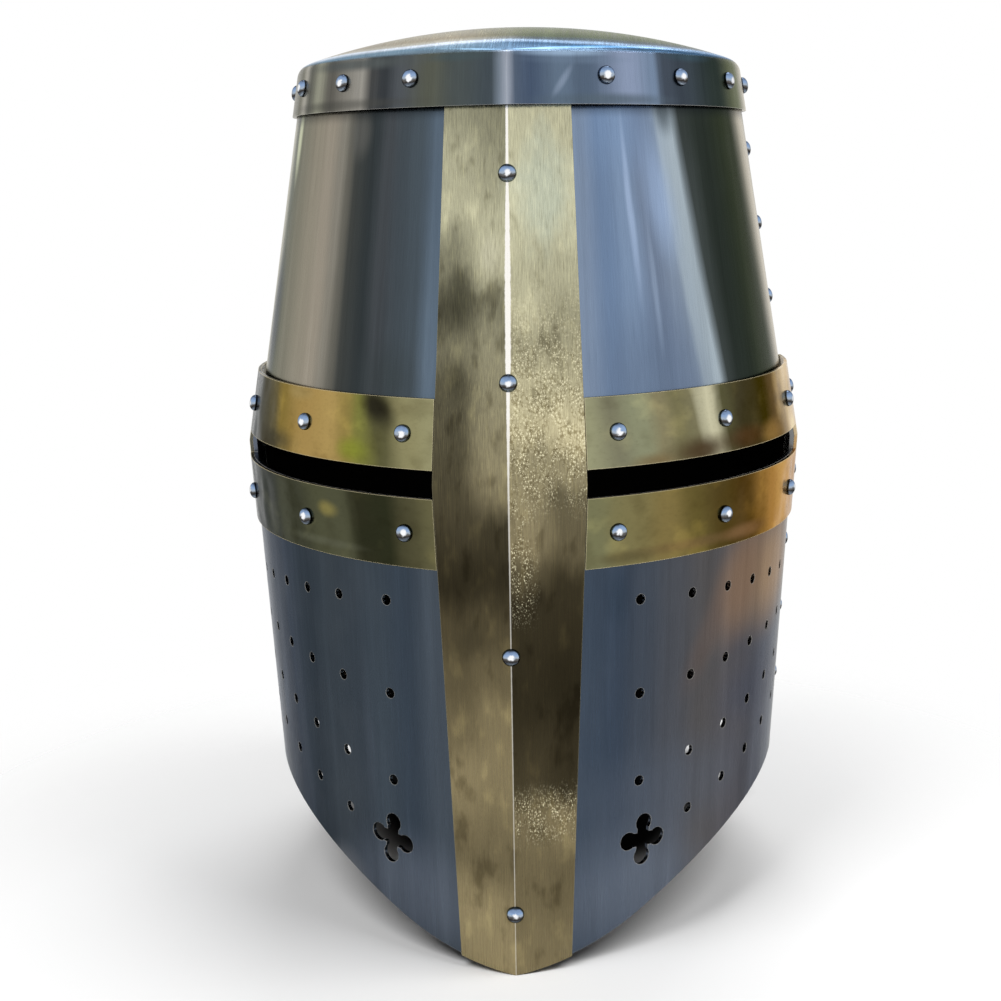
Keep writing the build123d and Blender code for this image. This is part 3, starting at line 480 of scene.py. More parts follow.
upper_bands = [
    (-180, *SLATE), (-150, *NIGHT), (-118, *BEIGE), (-80, *CREAM), (-72, 360, 350, 280), (-66, 100, 110, 75),
    (-62, 150, 150, 110), (-57, 210, 200, 155), (-49, 285, 260, 205), (-43, 315, 280, 225),
    (-38.5, 225, 210, 175), (-36, 130, 125, 105), (-33, 50, 55, 53), (-28, 31, 38, 41), (-24.5, 62, 70, 78),
    (-21, 56, 70, 82), (-17, 66, 86, 104), (-13, 95, 132, 178), (13, 215, 280, 390), (17.5, 148, 218, 345),
    (22, 200, 280, 415), (29, 165, 215, 310), (34.5, 195, 250, 340), (37, 340, 410, 475), (41, 370, 440, 490),
    (43, 48, 58, 56), (49, 26, 33, 28), (66, 36, 45, 25), (79, *CREAM), (100, *NIGHT), (140, *BLUE),
    (180, *SLATE),
]
upper_spots = [
    (-63, 287, 3, 20, 0.0, 0.9, 560, 580, 420),
    (-68, 222, 8, 34, 0.02, 0.8, 35, 44, 58),
    (-33, 288, 4.5, 12, 0.0, 0.6, 130, 130, 120),
    (-22, 206, 9, 18, 0.0, 0.6, 44, 55, 58),
    (-14, 225, 3, 50, 0.0, 0.35, 130, 180, 240),
    (24, 290, 17, 24, 0.0, 0.35, 210, 320, 520),
    (33, 266, 6.5, 30, -0.04, 0.6, 340, 460, 680),
    (25, 205, 16, 36, 0.0, 0.7, 125, 172, 258),
    (24, 262, 1.4, 40, 0.0, 0.55, 420, 540, 760),
    (28, 236, 1.2, 30, 0.02, 0.35, 360, 460, 620),
    (39, 294, 4.5, 11, 0.0, 0.8, 70, 90, 105),
]
dress(
    polished_steel("upper_plate_steel", upper_bands, upper_spots, rim_shade=(291.0, 297.0), slant=0.07),
    "upper_front_plate", "upper_back_plate",
)

# %% Lower plates
lower_bands = [
    (-180, 70, 85, 110), (-160, 120, 140, 170), (-145, *NIGHT), (-125, 150, 140, 125), (-110, *SLATE),
    (-90, 100, 110, 120), (-76, 120, 140, 180), (-68, 64, 80, 108), (-60, 50, 63, 85), (-52, 44, 56, 76),
    (-44, 36, 46, 58), (-35, 40, 51, 63), (-29, 38, 49, 62), (-24, 48, 63, 80), (-18, 38, 52, 71),
    (-12, 58, 73, 92), (13, 46, 64, 92), (17, 40, 56, 83), (22, 55, 68, 90), (28, 72, 78, 92), (36, 90, 86, 88),
    (48, 86, 84, 94), (62, 82, 90, 112), (72, 100, 115, 140), (80, 220, 220, 210), (100, *NIGHT),
    (125, 140, 150, 170), (150, *SLATE),
]
lower_spots = [
    (63, 128, 26, 32, 0.0, 1.0, 280, 195, 125),
    (47, 128, 12, 30, 0.14, 0.85, 205, 135, 92),
    (37, 112, 5.5, 26, 0.26, 0.45, 140, 102, 85),
    (60, 84, 26, 17, 0.0, 0.85, 72, 78, 100),
    (17, 132, 3, 14, 0.0, 0.5, 26, 40, 60),
    (-20, 22, 22, 30, 0.0, 0.65, 125, 147, 188),
    (20, 22, 24, 34, 0.0, 0.70, 130, 155, 200),
    (30, 58, 30, 26, 0.0, 0.45, 86, 104, 136),
    (-27, 70, 2.0, 60, 0.0, 0.3, 70, 86, 110),
    (-49, 84, 2.5, 46, 0.0, 0.3, 70, 84, 104),
    (-60, 76, 3.5, 26, 0.1, 0.45, 90, 110, 145),
    (-36, 20, 9, 16, 0.0, 0.6, 200, 210, 230),
]
dress(polished_steel("lower_plate_steel", lower_bands, lower_spots), "lower_front_plate", "lower_back_plate")

# %% [markdown]
# The crown
#
# The crown is one sheet with a flange that is bent down round the walls and a low dome on top. The
# flange mirrors the same surroundings as the walls, and the dome looks up at the sky, so its painted
# reflection changes with how high above the bend a point lies. The height is read from the point itself,
# and two ramps over it, one for each side, give the blue strip, a painted highlight line and the warm top.

# %% Crown plate
BEND_Z = 313.0
DOME_RAMP = 16.0


def painted_dome_reflection(finish):
    """Painted reflection: blue next to the bend, then a painted highlight line, then gold on the left and olive on
    the right.
    """
    tree = finish.tree
    ripple = finish.cloud((0.03, 0.03, 0.0), detail=3.0)
    level = maths(tree, "MULTIPLY_ADD", maths(tree, "ABSOLUTE", finish.x), 0.045, finish.z)
    level = maths(tree, "MULTIPLY_ADD", maths(tree, "SUBTRACT", ripple, 0.5), 1.6, level)
    sides = []
    for stops in DOME_LEFT, DOME_RIGHT:
        places = [((height - BEND_Z) / DOME_RAMP, colour) for height, colour in shades(stops)]
        sides.append(ramp(tree, maths(tree, "MULTIPLY_ADD", level, 1 / DOME_RAMP, -BEND_Z / DOME_RAMP), places))
    return mix(tree, soft_step(tree, finish.x, -22, 12), *sides)


DOME_LEFT = [
    (313.5, 75, 100, 112), (315, 170, 240, 300), (316.6, 240, 340, 430), (318, 700, 760, 840),
    (319, 480, 460, 400), (320.5, 360, 320, 240), (323, 380, 350, 270), (329, 220, 240, 210),
]
DOME_RIGHT = [
    (313.5, 190, 280, 400), (315, 150, 230, 340), (316.6, 90, 155, 250), (317.8, 340, 460, 620),
    (319, 120, 150, 170), (320.5, 125, 150, 95), (323, 170, 190, 115), (329, 180, 200, 180),
]
crown_bands = [
    (-180, *SLATE), (-140, *NIGHT), (-110, *BEIGE), (-82, 300, 280, 230), (-62.5, 170, 165, 125),
    (-59, 360, 345, 300), (-55, 120, 120, 100), (-49.5, 300, 300, 235), (-44, 120, 115, 100),
    (-38, 200, 190, 165), (-32.5, 330, 315, 280), (-29.5, 60, 62, 62), (-26, 34, 39, 44), (-22, 80, 90, 100),
    (-15, 92, 98, 75), (-9, 66, 80, 80), (-3, 52, 68, 80), (-1.3, 180, 220, 270), (-0.4, 440, 480, 560),
    (0.8, 90, 120, 170), (4, 62, 90, 145), (9.5, 125, 175, 245), (15, 92, 130, 190), (25, 260, 320, 455),
    (30.5, 190, 260, 375), (33.0, 55, 70, 94), (54, 28, 39, 34), (66, 120, 135, 70), (80, *CREAM),
    (100, *NIGHT), (140, *BLUE), (180, *SLATE),
]
crown_spots = [
    (10, 303.5, 1.2, 7, 0.35, 0.5, 300, 370, 490),
    (11, 312.7, 12, 1.9, 0.0, 0.95, 310, 430, 590),
    (14, 310.5, 14, 2.2, 0.0, 0.5, 160, 220, 310),
    (20, 297.5, 20, 3.2, 0.0, 0.8, 95, 130, 165),
    (-40, 298, 34, 2.6, 0.0, 0.55, 66, 66, 58),
    (-34, 311.5, 26, 3.2, 0.0, 0.85, 85, 98, 98),
    (-9, 312, 9, 2.4, 0.0, 0.7, 60, 88, 95),
    (42, 312.5, 12, 2.4, 0.0, 0.7, 50, 85, 110),
]
crown_steel = polished_steel(
    "crown_steel", crown_bands, crown_spots, lift=3.0, from_height=BEND_Z, waver=1.6, dome=(BEND_Z, BEND_Z + 0.9)
)
dress(crown_steel, "crown_plate")

# %% [markdown]
# The brass upright
#
# The upright is thick brass, folded along the keel. It was brushed lengthways and then left to age, so
# its two facets differ: the left is smoother, and the right is strewn with small pits whose rims carry
# painted glints. A painted highlight makes a bright line along the fold, widest between the upper rivets.
# What each facet mirrors is painted: each facet gets two ramps of painted reflection over the height, one
# beside the fold and one at the rim, and the sign of x chooses the facet, so that the left reads darker.

# %% Upright brass
RAMP_TOP = 310
OVAL_PATCHES = (
    ((-15.5, 233.0), (8.0, 14.0), 0.65, 60, 58, 38),
    ((-6.0, 248.0), (5.0, 10.0), 0.5, 560, 540, 400),
    ((12.0, 268.0), (14.0, 26.0), 0.65, 470, 525, 430),
    ((-17.0, 206.0), (5.0, 8.0), 0.5, 50, 46, 28),
    ((-13.0, 120.0), (9.0, 9.0), 0.35, 35, 30, 18),
)


def lightness(tree, height, *levels):
    """A smooth curve of lightness over the height: each level is (height in mm, lightness)."""
    return ramp(tree, height, [(spot / RAMP_TOP, (level,) * 3) for spot, level in levels])


def upright_finish():
    """Aged brass, brushed up and down, pitted on the right, with painted reflections, painted glints and a painted
    highlight on the fold.
    """
    finish = Finish("upright_brass_aged")
    tree = finish.tree
    height = maths(tree, "MULTIPLY", finish.z, 1 / RAMP_TOP)
    drift = maths(tree, "SUBTRACT", finish.cloud((0.09, 0.09, 0.03), detail=4.0, rough=0.6), 0.5)
    height = maths(tree, "MULTIPLY_ADD", drift, 0.07, height)
    # Painted reflection: for each facet, one ramp of lightness over the height beside the fold and one at the rim.
    left_rim_reflection = lightness(
        tree, height, (4, 0.27), (20, 0.28), (40, 0.15), (72, 0.23), (89, 0.145), (106, 0.10), (124, 0.07),
        (139, 0.027), (168, 0.065), (205, 0.09), (217, 0.16), (230, 0.07), (246, 0.21), (262, 0.44),
        (278, 0.42), (292, 0.30),
    )
    left_fold_reflection = lightness(
        tree, height, (4, 0.28), (20, 0.27), (40, 0.15), (76, 0.21), (92, 0.19), (106, 0.125), (124, 0.075),
        (142, 0.03), (158, 0.045), (178, 0.25), (217, 0.27), (230, 0.20), (247, 0.50), (260, 0.46),
        (276, 0.32), (292, 0.24),
    )
    right_fold_reflection = lightness(
        tree, height, (4, 0.20), (38, 0.145), (54, 0.16), (69, 0.05), (100, 0.028), (132, 0.034), (142, 0.09),
        (153, 0.24), (179, 0.27), (192, 0.50), (206, 0.48), (217, 0.34), (228, 0.49), (242, 0.46), (265, 0.62),
        (292, 0.49),
    )
    right_rim_reflection = lightness(
        tree, height, (4, 0.20), (36, 0.125), (54, 0.20), (67, 0.036), (105, 0.022), (137, 0.036), (152, 0.12),
        (166, 0.12), (179, 0.29), (191, 0.60), (205, 0.42), (226, 0.32), (242, 0.42), (265, 0.57), (292, 0.45),
    )
    outward = soft_step(tree, maths(tree, "MULTIPLY_ADD", drift, 8.0, maths(tree, "ABSOLUTE", finish.x)), 6.0, 17.0)
    on_right = soft_step(tree, finish.x, -0.3, 0.3)
    light = mix(tree, on_right, mix(tree, outward, left_fold_reflection, left_rim_reflection), mix(tree, outward, right_fold_reflection, right_rim_reflection))
    warm = mix(tree, soft_step(tree, finish.z, 120, 260), (1.08, 0.88, 0.48), (1.02, 0.99, 0.68))
    colour = mix(tree, 1.0, light, warm, "MULTIPLY")
    blots = finish.cloud((0.16, 0.16, 0.07), detail=3.0, rough=0.5)
    colour = layer(tree, colour, blots, 0.47, 0.28, 0.55, (0.30, 0.28, 0.24), "MULTIPLY")
    colour = layer(tree, colour, blots, 0.55, 0.75, 0.5, (1.0, 0.98, 0.85), "SOFT_LIGHT")
    # Soft oval patches, some lighter and some darker.
    for at, size, strength, shade in shades(OVAL_PATCHES):
        colour = oval_patch(finish, colour, at, size, strength, shade)
    brush = finish.cloud((5.0, 0.8, 0.06), detail=3.0, rough=0.7)
    brushed = soft_step(tree, finish.z, 120, 200, 0.35, 1.0)
    lift = maths(tree, "MULTIPLY", soft_step(tree, brush, 0.48, 0.72, 0.0, 0.6), brushed)
    drop = maths(tree, "MULTIPLY", soft_step(tree, brush, 0.50, 0.25, 0.0, 0.55), brushed)
    colour = mix(tree, lift, colour, (1.0, 0.98, 0.80), "SOFT_LIGHT")
    colour = mix(tree, drop, colour, (0.35, 0.32, 0.24), "MULTIPLY")
    pit, crumb = (
        add_node(tree, "ShaderNodeTexVoronoi", {
            "Vector": vector_maths(tree, "MULTIPLY", finish.point, scale), "Scale": 1.0, "Randomness": 1.0,
        }).outputs["Distance"]
        for scale in ((1.35, 0.8, 0.9), (2.4, 1.2, 1.7))
    )
    # Painted glints on the rims of the pits.
    rim = maths(tree, "MAXIMUM", glint(tree, pit), glint(tree, crumb))
    strewn = pit_field(finish)
    gloom = maths(tree, "MULTIPLY", soft_step(tree, pit, 0.45, 0.75, 0.0, 0.65), strewn)
    colour = mix(tree, gloom, colour, (0.35, 0.30, 0.20), "MULTIPLY")
    colour = mix(tree, maths(tree, "MULTIPLY", rim, strewn), colour, (0.95, 0.88, 0.60))
    # The painted highlight along the fold.
    colour = mix(tree, painted_keel_highlight(finish), colour, (0.98, 0.95, 0.90))
    colour = mix(tree, maths(tree, "MULTIPLY", finish.edge_share(), 0.4), colour, (0.62, 0.56, 0.36))
    rough = soft_step(tree, brush, 0.3, 0.75, 0.22, 0.36)
    relief = [(brush, 0.03), (pit, 0.03), (blots, 0.2)]
    return finish.close(colour, rough, relief, tint=(0.62, 0.60, 0.52))


def oval_patch(finish, colour, at, size, strength, shade):
    """A soft oval patch of another colour, lighter or darker, at (x, height)."""
    tree = finish.tree
    off = vector_maths(tree, "SUBTRACT", combine(tree, finish.x, 0.0, finish.z), (at[0], 0.0, at[1]))
    off = vector_maths(tree, "LENGTH", vector_maths(tree, "DIVIDE", off, (size[0], 1.0, size[1])), output=1)
    wave = finish.cloud((0.15, 0.15, 0.08), detail=3.0)
    off = maths(tree, "ADD", off, maths(tree, "SUBTRACT", wave, 0.5))
    return mix(tree, soft_step(tree, off, 1.0, 0.2, 0.0, strength), colour, shade)


def glint(tree, distance):
    """A painted glint: the bright middle of a Voronoi cell."""
    return soft_step(tree, distance, 0.31, 0.16)


def pit_field(finish):
    """Where the pits are: on the right facet, thickest below the band, with a blot near the point."""
    tree = finish.tree
    clump = finish.cloud((0.28, 0.28, 0.13), detail=4.0, rough=0.7)
    high = maths(tree, "MULTIPLY", soft_step(tree, finish.z, 158, 178), soft_step(tree, finish.z, 250, 196, 0.0, 1.0))
    near_keel = maths(tree, "MULTIPLY", soft_step(tree, finish.x, 11.0, 3.0), soft_step(tree, finish.z, 122, 142))
    near_keel = maths(tree, "MULTIPLY", near_keel, soft_step(tree, finish.z, 200, 180))
    low = maths(tree, "MULTIPLY", soft_step(tree, finish.z, 44, 56), soft_step(tree, finish.z, 72, 60, 0.0, 0.8))
    field = maths(tree, "MAXIMUM", maths(tree, "MAXIMUM", high, near_keel), low)
    field = maths(tree, "MULTIPLY", field, soft_step(tree, clump, 0.38, 0.56))
    return maths(tree, "MULTIPLY", field, soft_step(tree, finish.x, -0.2, 0.9))


def painted_keel_highlight(finish):
    """The painted highlight line on the fold: widest between the two upper rivets, thin below the band."""
    tree = finish.tree
    height = maths(tree, "MULTIPLY", finish.z, 1 / RAMP_TOP)
    width = lightness(
        tree, height, (0, 0.12), (130, 0.15), (170, 0.22), (200, 0.40), (214, 0.66), (240, 0.70), (256, 0.56),
        (272, 0.34), (300, 0.30),
    )
    strength = lightness(tree, height, (0, 0.35), (124, 0.40), (160, 0.50), (186, 0.85), (200, 1.0))
    ragged = finish.cloud((0.0, 0.0, 0.35), detail=4.0, rough=0.7)
    width = maths(tree, "MULTIPLY", width, maths(tree, "MULTIPLY_ADD", ragged, 1.6, 0.65))
    near = maths(tree, "DIVIDE", maths(tree, "ABSOLUTE", finish.x), maths(tree, "MAXIMUM", width, 0.05))
    return maths(tree, "MULTIPLY", soft_step(tree, near, 1.15, 0.7), strength)


dress(upright_finish(), "brass_upright")

# %% [markdown]
# The brass arms
#
# The arms are thinner brass and better polished, so they mirror the surroundings in blurred patches, and
# these reflections are painted: orange where the light is warm, green-yellow, and nearly black beside the
# rivets. Each arm has one ramp of painted reflection for its strip above the sight and one for the strip
# below, and both waver strongly, because thin sheet buckles a little between its rivets. The edges are cut
# edges, which show as fine pale lines, partly bare metal and partly painted highlight.

# %% Arm brass
SIGHT_Z = 172.6


def arm_finish(name, above, below, spots):
    """Brass for one arm, with painted reflections from the bands above and below its sight."""
    finish = Finish(name)
    tree = finish.tree
    azimuth = finish.wavering(5.0, 0.05)
    lean = maths(tree, "MULTIPLY_ADD", maths(tree, "SUBTRACT", finish.z, SIGHT_Z), 0.06, azimuth)
    over = soft_step(tree, finish.z, SIGHT_Z - 1.0, SIGHT_Z + 1.0)
    # Painted reflections: the bands above and below the sight, and soft patches.
    colour = mix(tree, over, finish.bands(lean, below), finish.bands(lean, above))
    colour = finish.patches(colour, azimuth, spots)
    haze = finish.cloud((0.06, 0.06, 0.08), detail=3.0, rough=0.5)
    colour = layer(tree, colour, haze, 0.48, 0.28, 0.35, (0.40, 0.36, 0.30), "MULTIPLY")
    colour = layer(tree, colour, haze, 0.54, 0.75, 0.5, (1.0, 0.96, 0.80), "SOFT_LIGHT")
    scuffs = cloud(tree, finish.stretched(0.5, 0.9), detail=6.0, rough=0.75)
    colour = layer(tree, colour, scuffs, 0.52, 0.30, 0.16, (0.2, 0.17, 0.1), "MULTIPLY")
    # Cut edges: pale metal, partly a painted highlight.
    colour = mix(tree, maths(tree, "MULTIPLY", finish.edge_share(0.45), 0.8), colour, (0.66, 0.58, 0.38))
    rough = soft_step(tree, scuffs, 0.35, 0.75, 0.14, 0.26)
    buckle = finish.cloud((0.06, 0.06, 0.05), detail=1.0)
    return finish.close(colour, rough, [(buckle, 1.3), (scuffs, 0.010)], tint=finish.tint(colour, 0.40))


brass_behind = [(-180, 200, 160, 80), (-95, 300, 260, 160)]
left_above = brass_behind + [
    (-84, 120, 115, 85), (-66, 75, 82, 80), (-57, 95, 88, 62), (-53, 125, 108, 62), (-49, 240, 175, 55),
    (-40, 370, 250, 85), (-32, 410, 285, 98), (-28, 270, 200, 60), (-24, 190, 190, 48), (-20.5, 100, 96, 42),
    (-16, 270, 250, 125), (-11, 320, 305, 165),
]
left_below = brass_behind + [
    (-84, 120, 115, 85), (-68, 56, 62, 60), (-54, 60, 64, 56), (-48, 82, 85, 62), (-44, 56, 58, 40),
    (-37, 80, 82, 47), (-30.5, 78, 80, 46), (-27, 27, 27, 14), (-21, 25, 27, 13), (-17, 75, 70, 35),
    (-11, 135, 125, 60),
]
left_spots = [
    (-22.0, 197, 4.0, 10, -0.22, 1.0, 26, 24, 14),
    (-27, 182, 5, 6, 0.0, 0.75, 230, 260, 30),
    (-44, 199, 6, 4, 0.0, 0.5, 360, 280, 120),
    (-34, 160, 4.0, 4, 0.0, 0.75, 260, 220, 70),
    (-24, 152, 6, 7, 0.1, 0.6, 22, 24, 12),
    (-53, 180, 13, 7, 0.0, 0.85, 70, 64, 45),
    (-44, 176, 5, 3, 0.0, 0.5, 160, 120, 45),
    (-36, 148, 14, 2.4, 0.0, 0.5, 120, 125, 85),
]
right_behind = [(180, 200, 160, 80), (95, 260, 200, 100)]
right_above = right_behind + [
    (12, 320, 320, 190), (17, 200, 195, 125), (22, 260, 270, 165), (25.5, 240, 215, 120), (30, 175, 160, 80),
    (33.5, 190, 175, 95), (36, 450, 430, 290), (38.5, 600, 570, 390), (42, 100, 95, 45), (47, 55, 47, 24),
    (56, 54, 42, 16), (61, 120, 80, 36), (66, 300, 220, 120), (71, 620, 500, 320), (82, 550, 420, 250),
]
right_below = right_behind + [
    (12, 180, 178, 90), (18, 200, 175, 75), (25, 210, 160, 56), (31, 125, 96, 28), (38, 80, 55, 16),
    (46, 95, 56, 18), (51, 240, 135, 40), (56, 380, 210, 62), (62, 520, 320, 110), (80, 420, 260, 120),
]
right_spots = [
    (34, 179.5, 10, 7.0, 0.0, 0.95, 70, 45, 22),
    (47, 181, 10, 6.0, 0.0, 0.8, 85, 46, 21),
    (58, 180, 8, 7.0, 0.0, 0.85, 270, 165, 58),
    (23, 178, 6, 4.0, 0.0, 0.7, 180, 120, 50),
    (34, 147.5, 20, 3.2, 0.0, 0.7, 145, 94, 40),
    (47, 147.5, 10, 4.0, 0.0, 0.85, 200, 112, 50),
    (18, 146.5, 8, 3.6, 0.0, 0.7, 100, 82, 36),
    (36, 203, 20, 1.6, 0.0, 0.4, 300, 290, 180),
]
dress(arm_finish("left_arm_brass", left_above, left_below, left_spots), "brass_arm_left")
dress(arm_finish("right_arm_brass", right_above, right_below, right_spots), "brass_arm_right")

# %% [markdown]
# Rivet steel
#
# A polished rivet head is a small mirror ball, and what it mirrors is painted: blue sky in its upper half,
# dark ground in its lower half with a paler edge, one white spot near the middle as a painted highlight,
# and a painted contact shadow as a dark line where it meets the plate. How far the shading normal climbs and
# how far it turns sideways place the first three. The line needs to know how near the rim a point is, and
# the rivets built below carry that as an attribute called rise, which is 0 at the rim and 1 at the crown
# of the head.

# %% Rivet finish
BALL_STOPS = (
    (0.02, 50, 60, 80), (0.14, 260, 310, 370), (0.24, 110, 130, 160), (0.36, 35, 32, 30), (0.46, 120, 115, 110),
    (0.55, 380, 450, 540), (0.68, 270, 390, 600), (0.80, 200, 290, 460), (0.92, 75, 100, 150),
)


def rivet_finish(name):
    """Polished steel with painted mirror-ball reflections, a painted highlight and a painted contact shadow."""
    finish = Finish(name)
    tree = finish.tree
    dent = cloud(tree, finish.point, size=0.9, detail=2.0)
    wobble = maths(tree, "MULTIPLY", maths(tree, "SUBTRACT", dent, 0.5), 0.35)
    rightward = vector_maths(tree, "NORMALIZE", combine(tree, finish.depth, finish.x))
    across = maths(tree, "ADD", vector_maths(tree, "DOT_PRODUCT", finish.normal, rightward, output=1), wobble)
    climb = maths(tree, "ADD", add_node(tree, "ShaderNodeSeparateXYZ", {0: finish.normal}).outputs[2], wobble)
    # Painted reflection: sky above and ground below, by how far the shading normal climbs.
    colour = ramp(tree, maths(tree, "MULTIPLY_ADD", climb, 0.5, 0.5), shades(BALL_STOPS))
    spot = combine(tree, across, climb)
    spot = vector_maths(tree, "LENGTH", vector_maths(tree, "SUBTRACT", spot, (0.04, 0.10, 0.0)), output=1)
    # Painted highlight: the white spot near the middle.
    colour = mix(tree, soft_step(tree, spot, 0.36, 0.17), colour, (0.97, 0.98, 1.0))
    rise = add_node(tree, "ShaderNodeAttribute", attribute_name="rise", attribute_type="GEOMETRY").outputs["Fac"]
    # Painted contact shadow: a dark line at the rim of the head.
    colour = layer(tree, colour, rise, 0.26, 0.05, 0.92, (0.014, 0.016, 0.022))
    return finish.close(colour, 0.16, [(dent, 0.05)], bevel=0, tint=(0.5, 0.5, 0.5))


rivet_steel = rivet_finish("rivet_steel_polished")

# %% [markdown]
# Rivets by Geometry Nodes
#
# The helm has sixty-five rivets of a few sizes. Copying and turning them by hand would be slow and hard
# to change, so one Geometry Nodes tree sets them all. It takes a mesh of loose points, one where each
# rivet's head meets the plate. Every point carries the rivet's axis and its sizes as attributes, and the
# tree puts a head, a shank and a tail on it, turns each by a random angle from a fixed seed, realizes
# the instances and dents them a little. The three unit shapes are spun round their axis with bmesh.

# %% Unit shapes
def as_mesh(form, name):
    """Turns a bmesh into a mesh and frees it."""
    mesh = bpy.data.meshes.new(name)
    form.to_mesh(mesh)
    form.free()
    return mesh


def spun(name, profile, turns=24):
    """A closed surface of revolution from (radius, height) points, with the attribute rise."""
    form = bmesh.new()
    ring = [form.verts.new((radius, 0, height)) for radius, height in profile]
    edges = [form.edges.new(pair) for pair in zip(ring, ring[1:])]
    bmesh.ops.spin(form, geom=ring + edges, axis=(0, 0, 1), cent=(0, 0, 0), angle=2 * math.pi, steps=turns)
    bmesh.ops.remove_doubles(form, verts=form.verts, dist=1e-5)
    bmesh.ops.recalc_face_normals(form, faces=form.faces)
    mesh = as_mesh(form, name)
    rise = mesh.attributes.new("rise", "FLOAT", "POINT")
    for vertex, value in zip(mesh.vertices, rise.data):
        value.value = max(vertex.co.z, 0.0)
    return new_piece(name, mesh)


def dome_profile(steps=9, flatness=2.35):
    """A rivet head's outline: a dome a little flatter on top than a ball, closed underneath."""
    arc = [math.pi / 2 * step / steps for step in range(steps + 1)]
    points = [(math.sin(turn), math.cos(turn) ** (2 / flatness)) for turn in arc]
    return points[:-1] + [(1.0, 0.0), (0.96, -0.03), (0.0, -0.03)]


head_shape = spun("rivet_head_shape", dome_profile())
tail_shape = spun("rivet_tail_shape", [(0, -1), (0.55, -0.93), (0.88, -0.6), (1, 0), (0, 0)])
shank_shape = spun("rivet_shank_shape", [(0, 0), (1, 0), (1, -1), (0, -1)], turns=16)
print("unit shapes:", [len(shape.data.polygons) for shape in (head_shape, shank_shape, tail_shape)], "faces")

# %% [markdown]
# The tree itself
#
# Named inputs make the tree readable and reusable: the three shapes, the depth of the dents, the seed
# and the finish. The attributes come in through Named Attribute nodes.

# %% Rivet tree
def new_tree(name, *inputs):
    """A Geometry Nodes tree that takes and gives a geometry, with more named inputs."""
    tree = bpy.data.node_groups.new(name, "GeometryNodeTree")
    tree.interface.new_socket("Geometry", in_out="INPUT", socket_type="NodeSocketGeometry")
    for title, kind in inputs:
        tree.interface.new_socket(title, in_out="INPUT", socket_type=kind)
    tree.interface.new_socket("Geometry", in_out="OUTPUT", socket_type="NodeSocketGeometry")
    return tree, tree.nodes.new("NodeGroupInput").outputs


def named(tree, name, kind="FLOAT_VECTOR"):
    """The value of an attribute."""
    made = add_node(tree, "GeometryNodeInputNamedAttribute", {"Name": name}, data_type=kind)
    return made.outputs["Attribute"]


def copies(tree, shape, points, rotation, scale):
    """An object's shape on every point."""
    form = add_node(tree, "GeometryNodeObjectInfo", {"Object": shape}, transform_space="ORIGINAL")
    inputs = {"Points": points, "Instance": form.outputs["Geometry"], "Rotation": rotation, "Scale": scale}
    return add_node(tree, "GeometryNodeInstanceOnPoints", inputs).outputs[0]


def turned_again(tree, rotation, more):
    """A rotation, and then another about the turned axes."""
    inputs = {0: rotation, 1: more}
    return add_node(tree, "FunctionNodeRotateRotation", inputs, rotation_space="LOCAL").outputs[0]


def pushed(tree, geometry, distance):
    """The geometry with every point moved along its normal."""
    normal = add_node(tree, "GeometryNodeInputNormal").outputs[0]
    offset = vector_maths(tree, "SCALE", normal, Scale=distance)
    return add_node(tree, "GeometryNodeSetPosition", {"Geometry": geometry, "Offset": offset}).outputs[0]


def end_tree(tree, geometry, material=None):
    """Shades the geometry smooth, gives it a material and ends the tree."""
    made = add_node(tree, "GeometryNodeSetShadeSmooth", {"Geometry": geometry})
    if material is not None:
        made = add_node(tree, "GeometryNodeSetMaterial", {"Geometry": made.outputs[0], "Material": material})
    tree.links.new(made.outputs[0], tree.nodes.new("NodeGroupOutput").inputs[0])
    print(f"{tree.name}: {len(tree.nodes)} nodes")


rivet_tree, given = new_tree(
    "set_rivets", ("Head", "NodeSocketObject"), ("Shank", "NodeSocketObject"), ("Tail", "NodeSocketObject"),
    ("Dents", "NodeSocketFloat"), ("Seed", "NodeSocketInt"), ("Finish", "NodeSocketMaterial"),
)
inputs = {"Max": 2 * math.pi, "Seed": given["Seed"]}
angle = add_node(rivet_tree, "FunctionNodeRandomValue", inputs, data_type="FLOAT")
twist = add_node(rivet_tree, "FunctionNodeAxisAngleToRotation", {"Axis": (0, 0, 1), "Angle": angle.outputs[1]})
upright = add_node(rivet_tree, "FunctionNodeAlignRotationToVector", {"Vector": named(rivet_tree, "axis")}, axis="Z")
turned = turned_again(rivet_tree, upright.outputs[0], twist.outputs[0])
inputs = {"Geometry": given["Geometry"], "Offset": named(rivet_tree, "tail_offset")}
inner = add_node(rivet_tree, "GeometryNodeSetPosition", inputs).outputs[0]
joined = rivet_tree.nodes.new("GeometryNodeJoinGeometry")
outer = given["Geometry"]
for shape, points, size in ("Head", outer, "head_size"), ("Shank", outer, "shank_size"), ("Tail", inner, "tail_size"):
    placed = copies(rivet_tree, given[shape], points, turned, named(rivet_tree, size))
    rivet_tree.links.new(placed, joined.inputs[0])
solid = add_node(rivet_tree, "GeometryNodeRealizeInstances", {0: joined.outputs[0]}).outputs[0]
noise = add_node(rivet_tree, "ShaderNodeTexNoise", {"Scale": 420.0, "Detail": 1.0}).outputs[0]
push = maths(rivet_tree, "MULTIPLY", maths(rivet_tree, "SUBTRACT", noise, 0.55), given["Dents"])
end_tree(rivet_tree, pushed(rivet_tree, solid, push), given["Finish"])

# %% [markdown]
# Reading a rivet's place from its solid
#
# The solids already hold every rivet, so nothing is typed in twice. A merged copy falls apart into loose
# islands, one for each rivet. The flat seat under a head is the largest flat face of an island, so the
# direction that most of its area faces is the rivet's axis, and every head looks away from the middle of
# the helm. The centre of the island's surface lies on the axis, and the widest rings of the outer and
# the inner half are the rims of the head and of the tail.

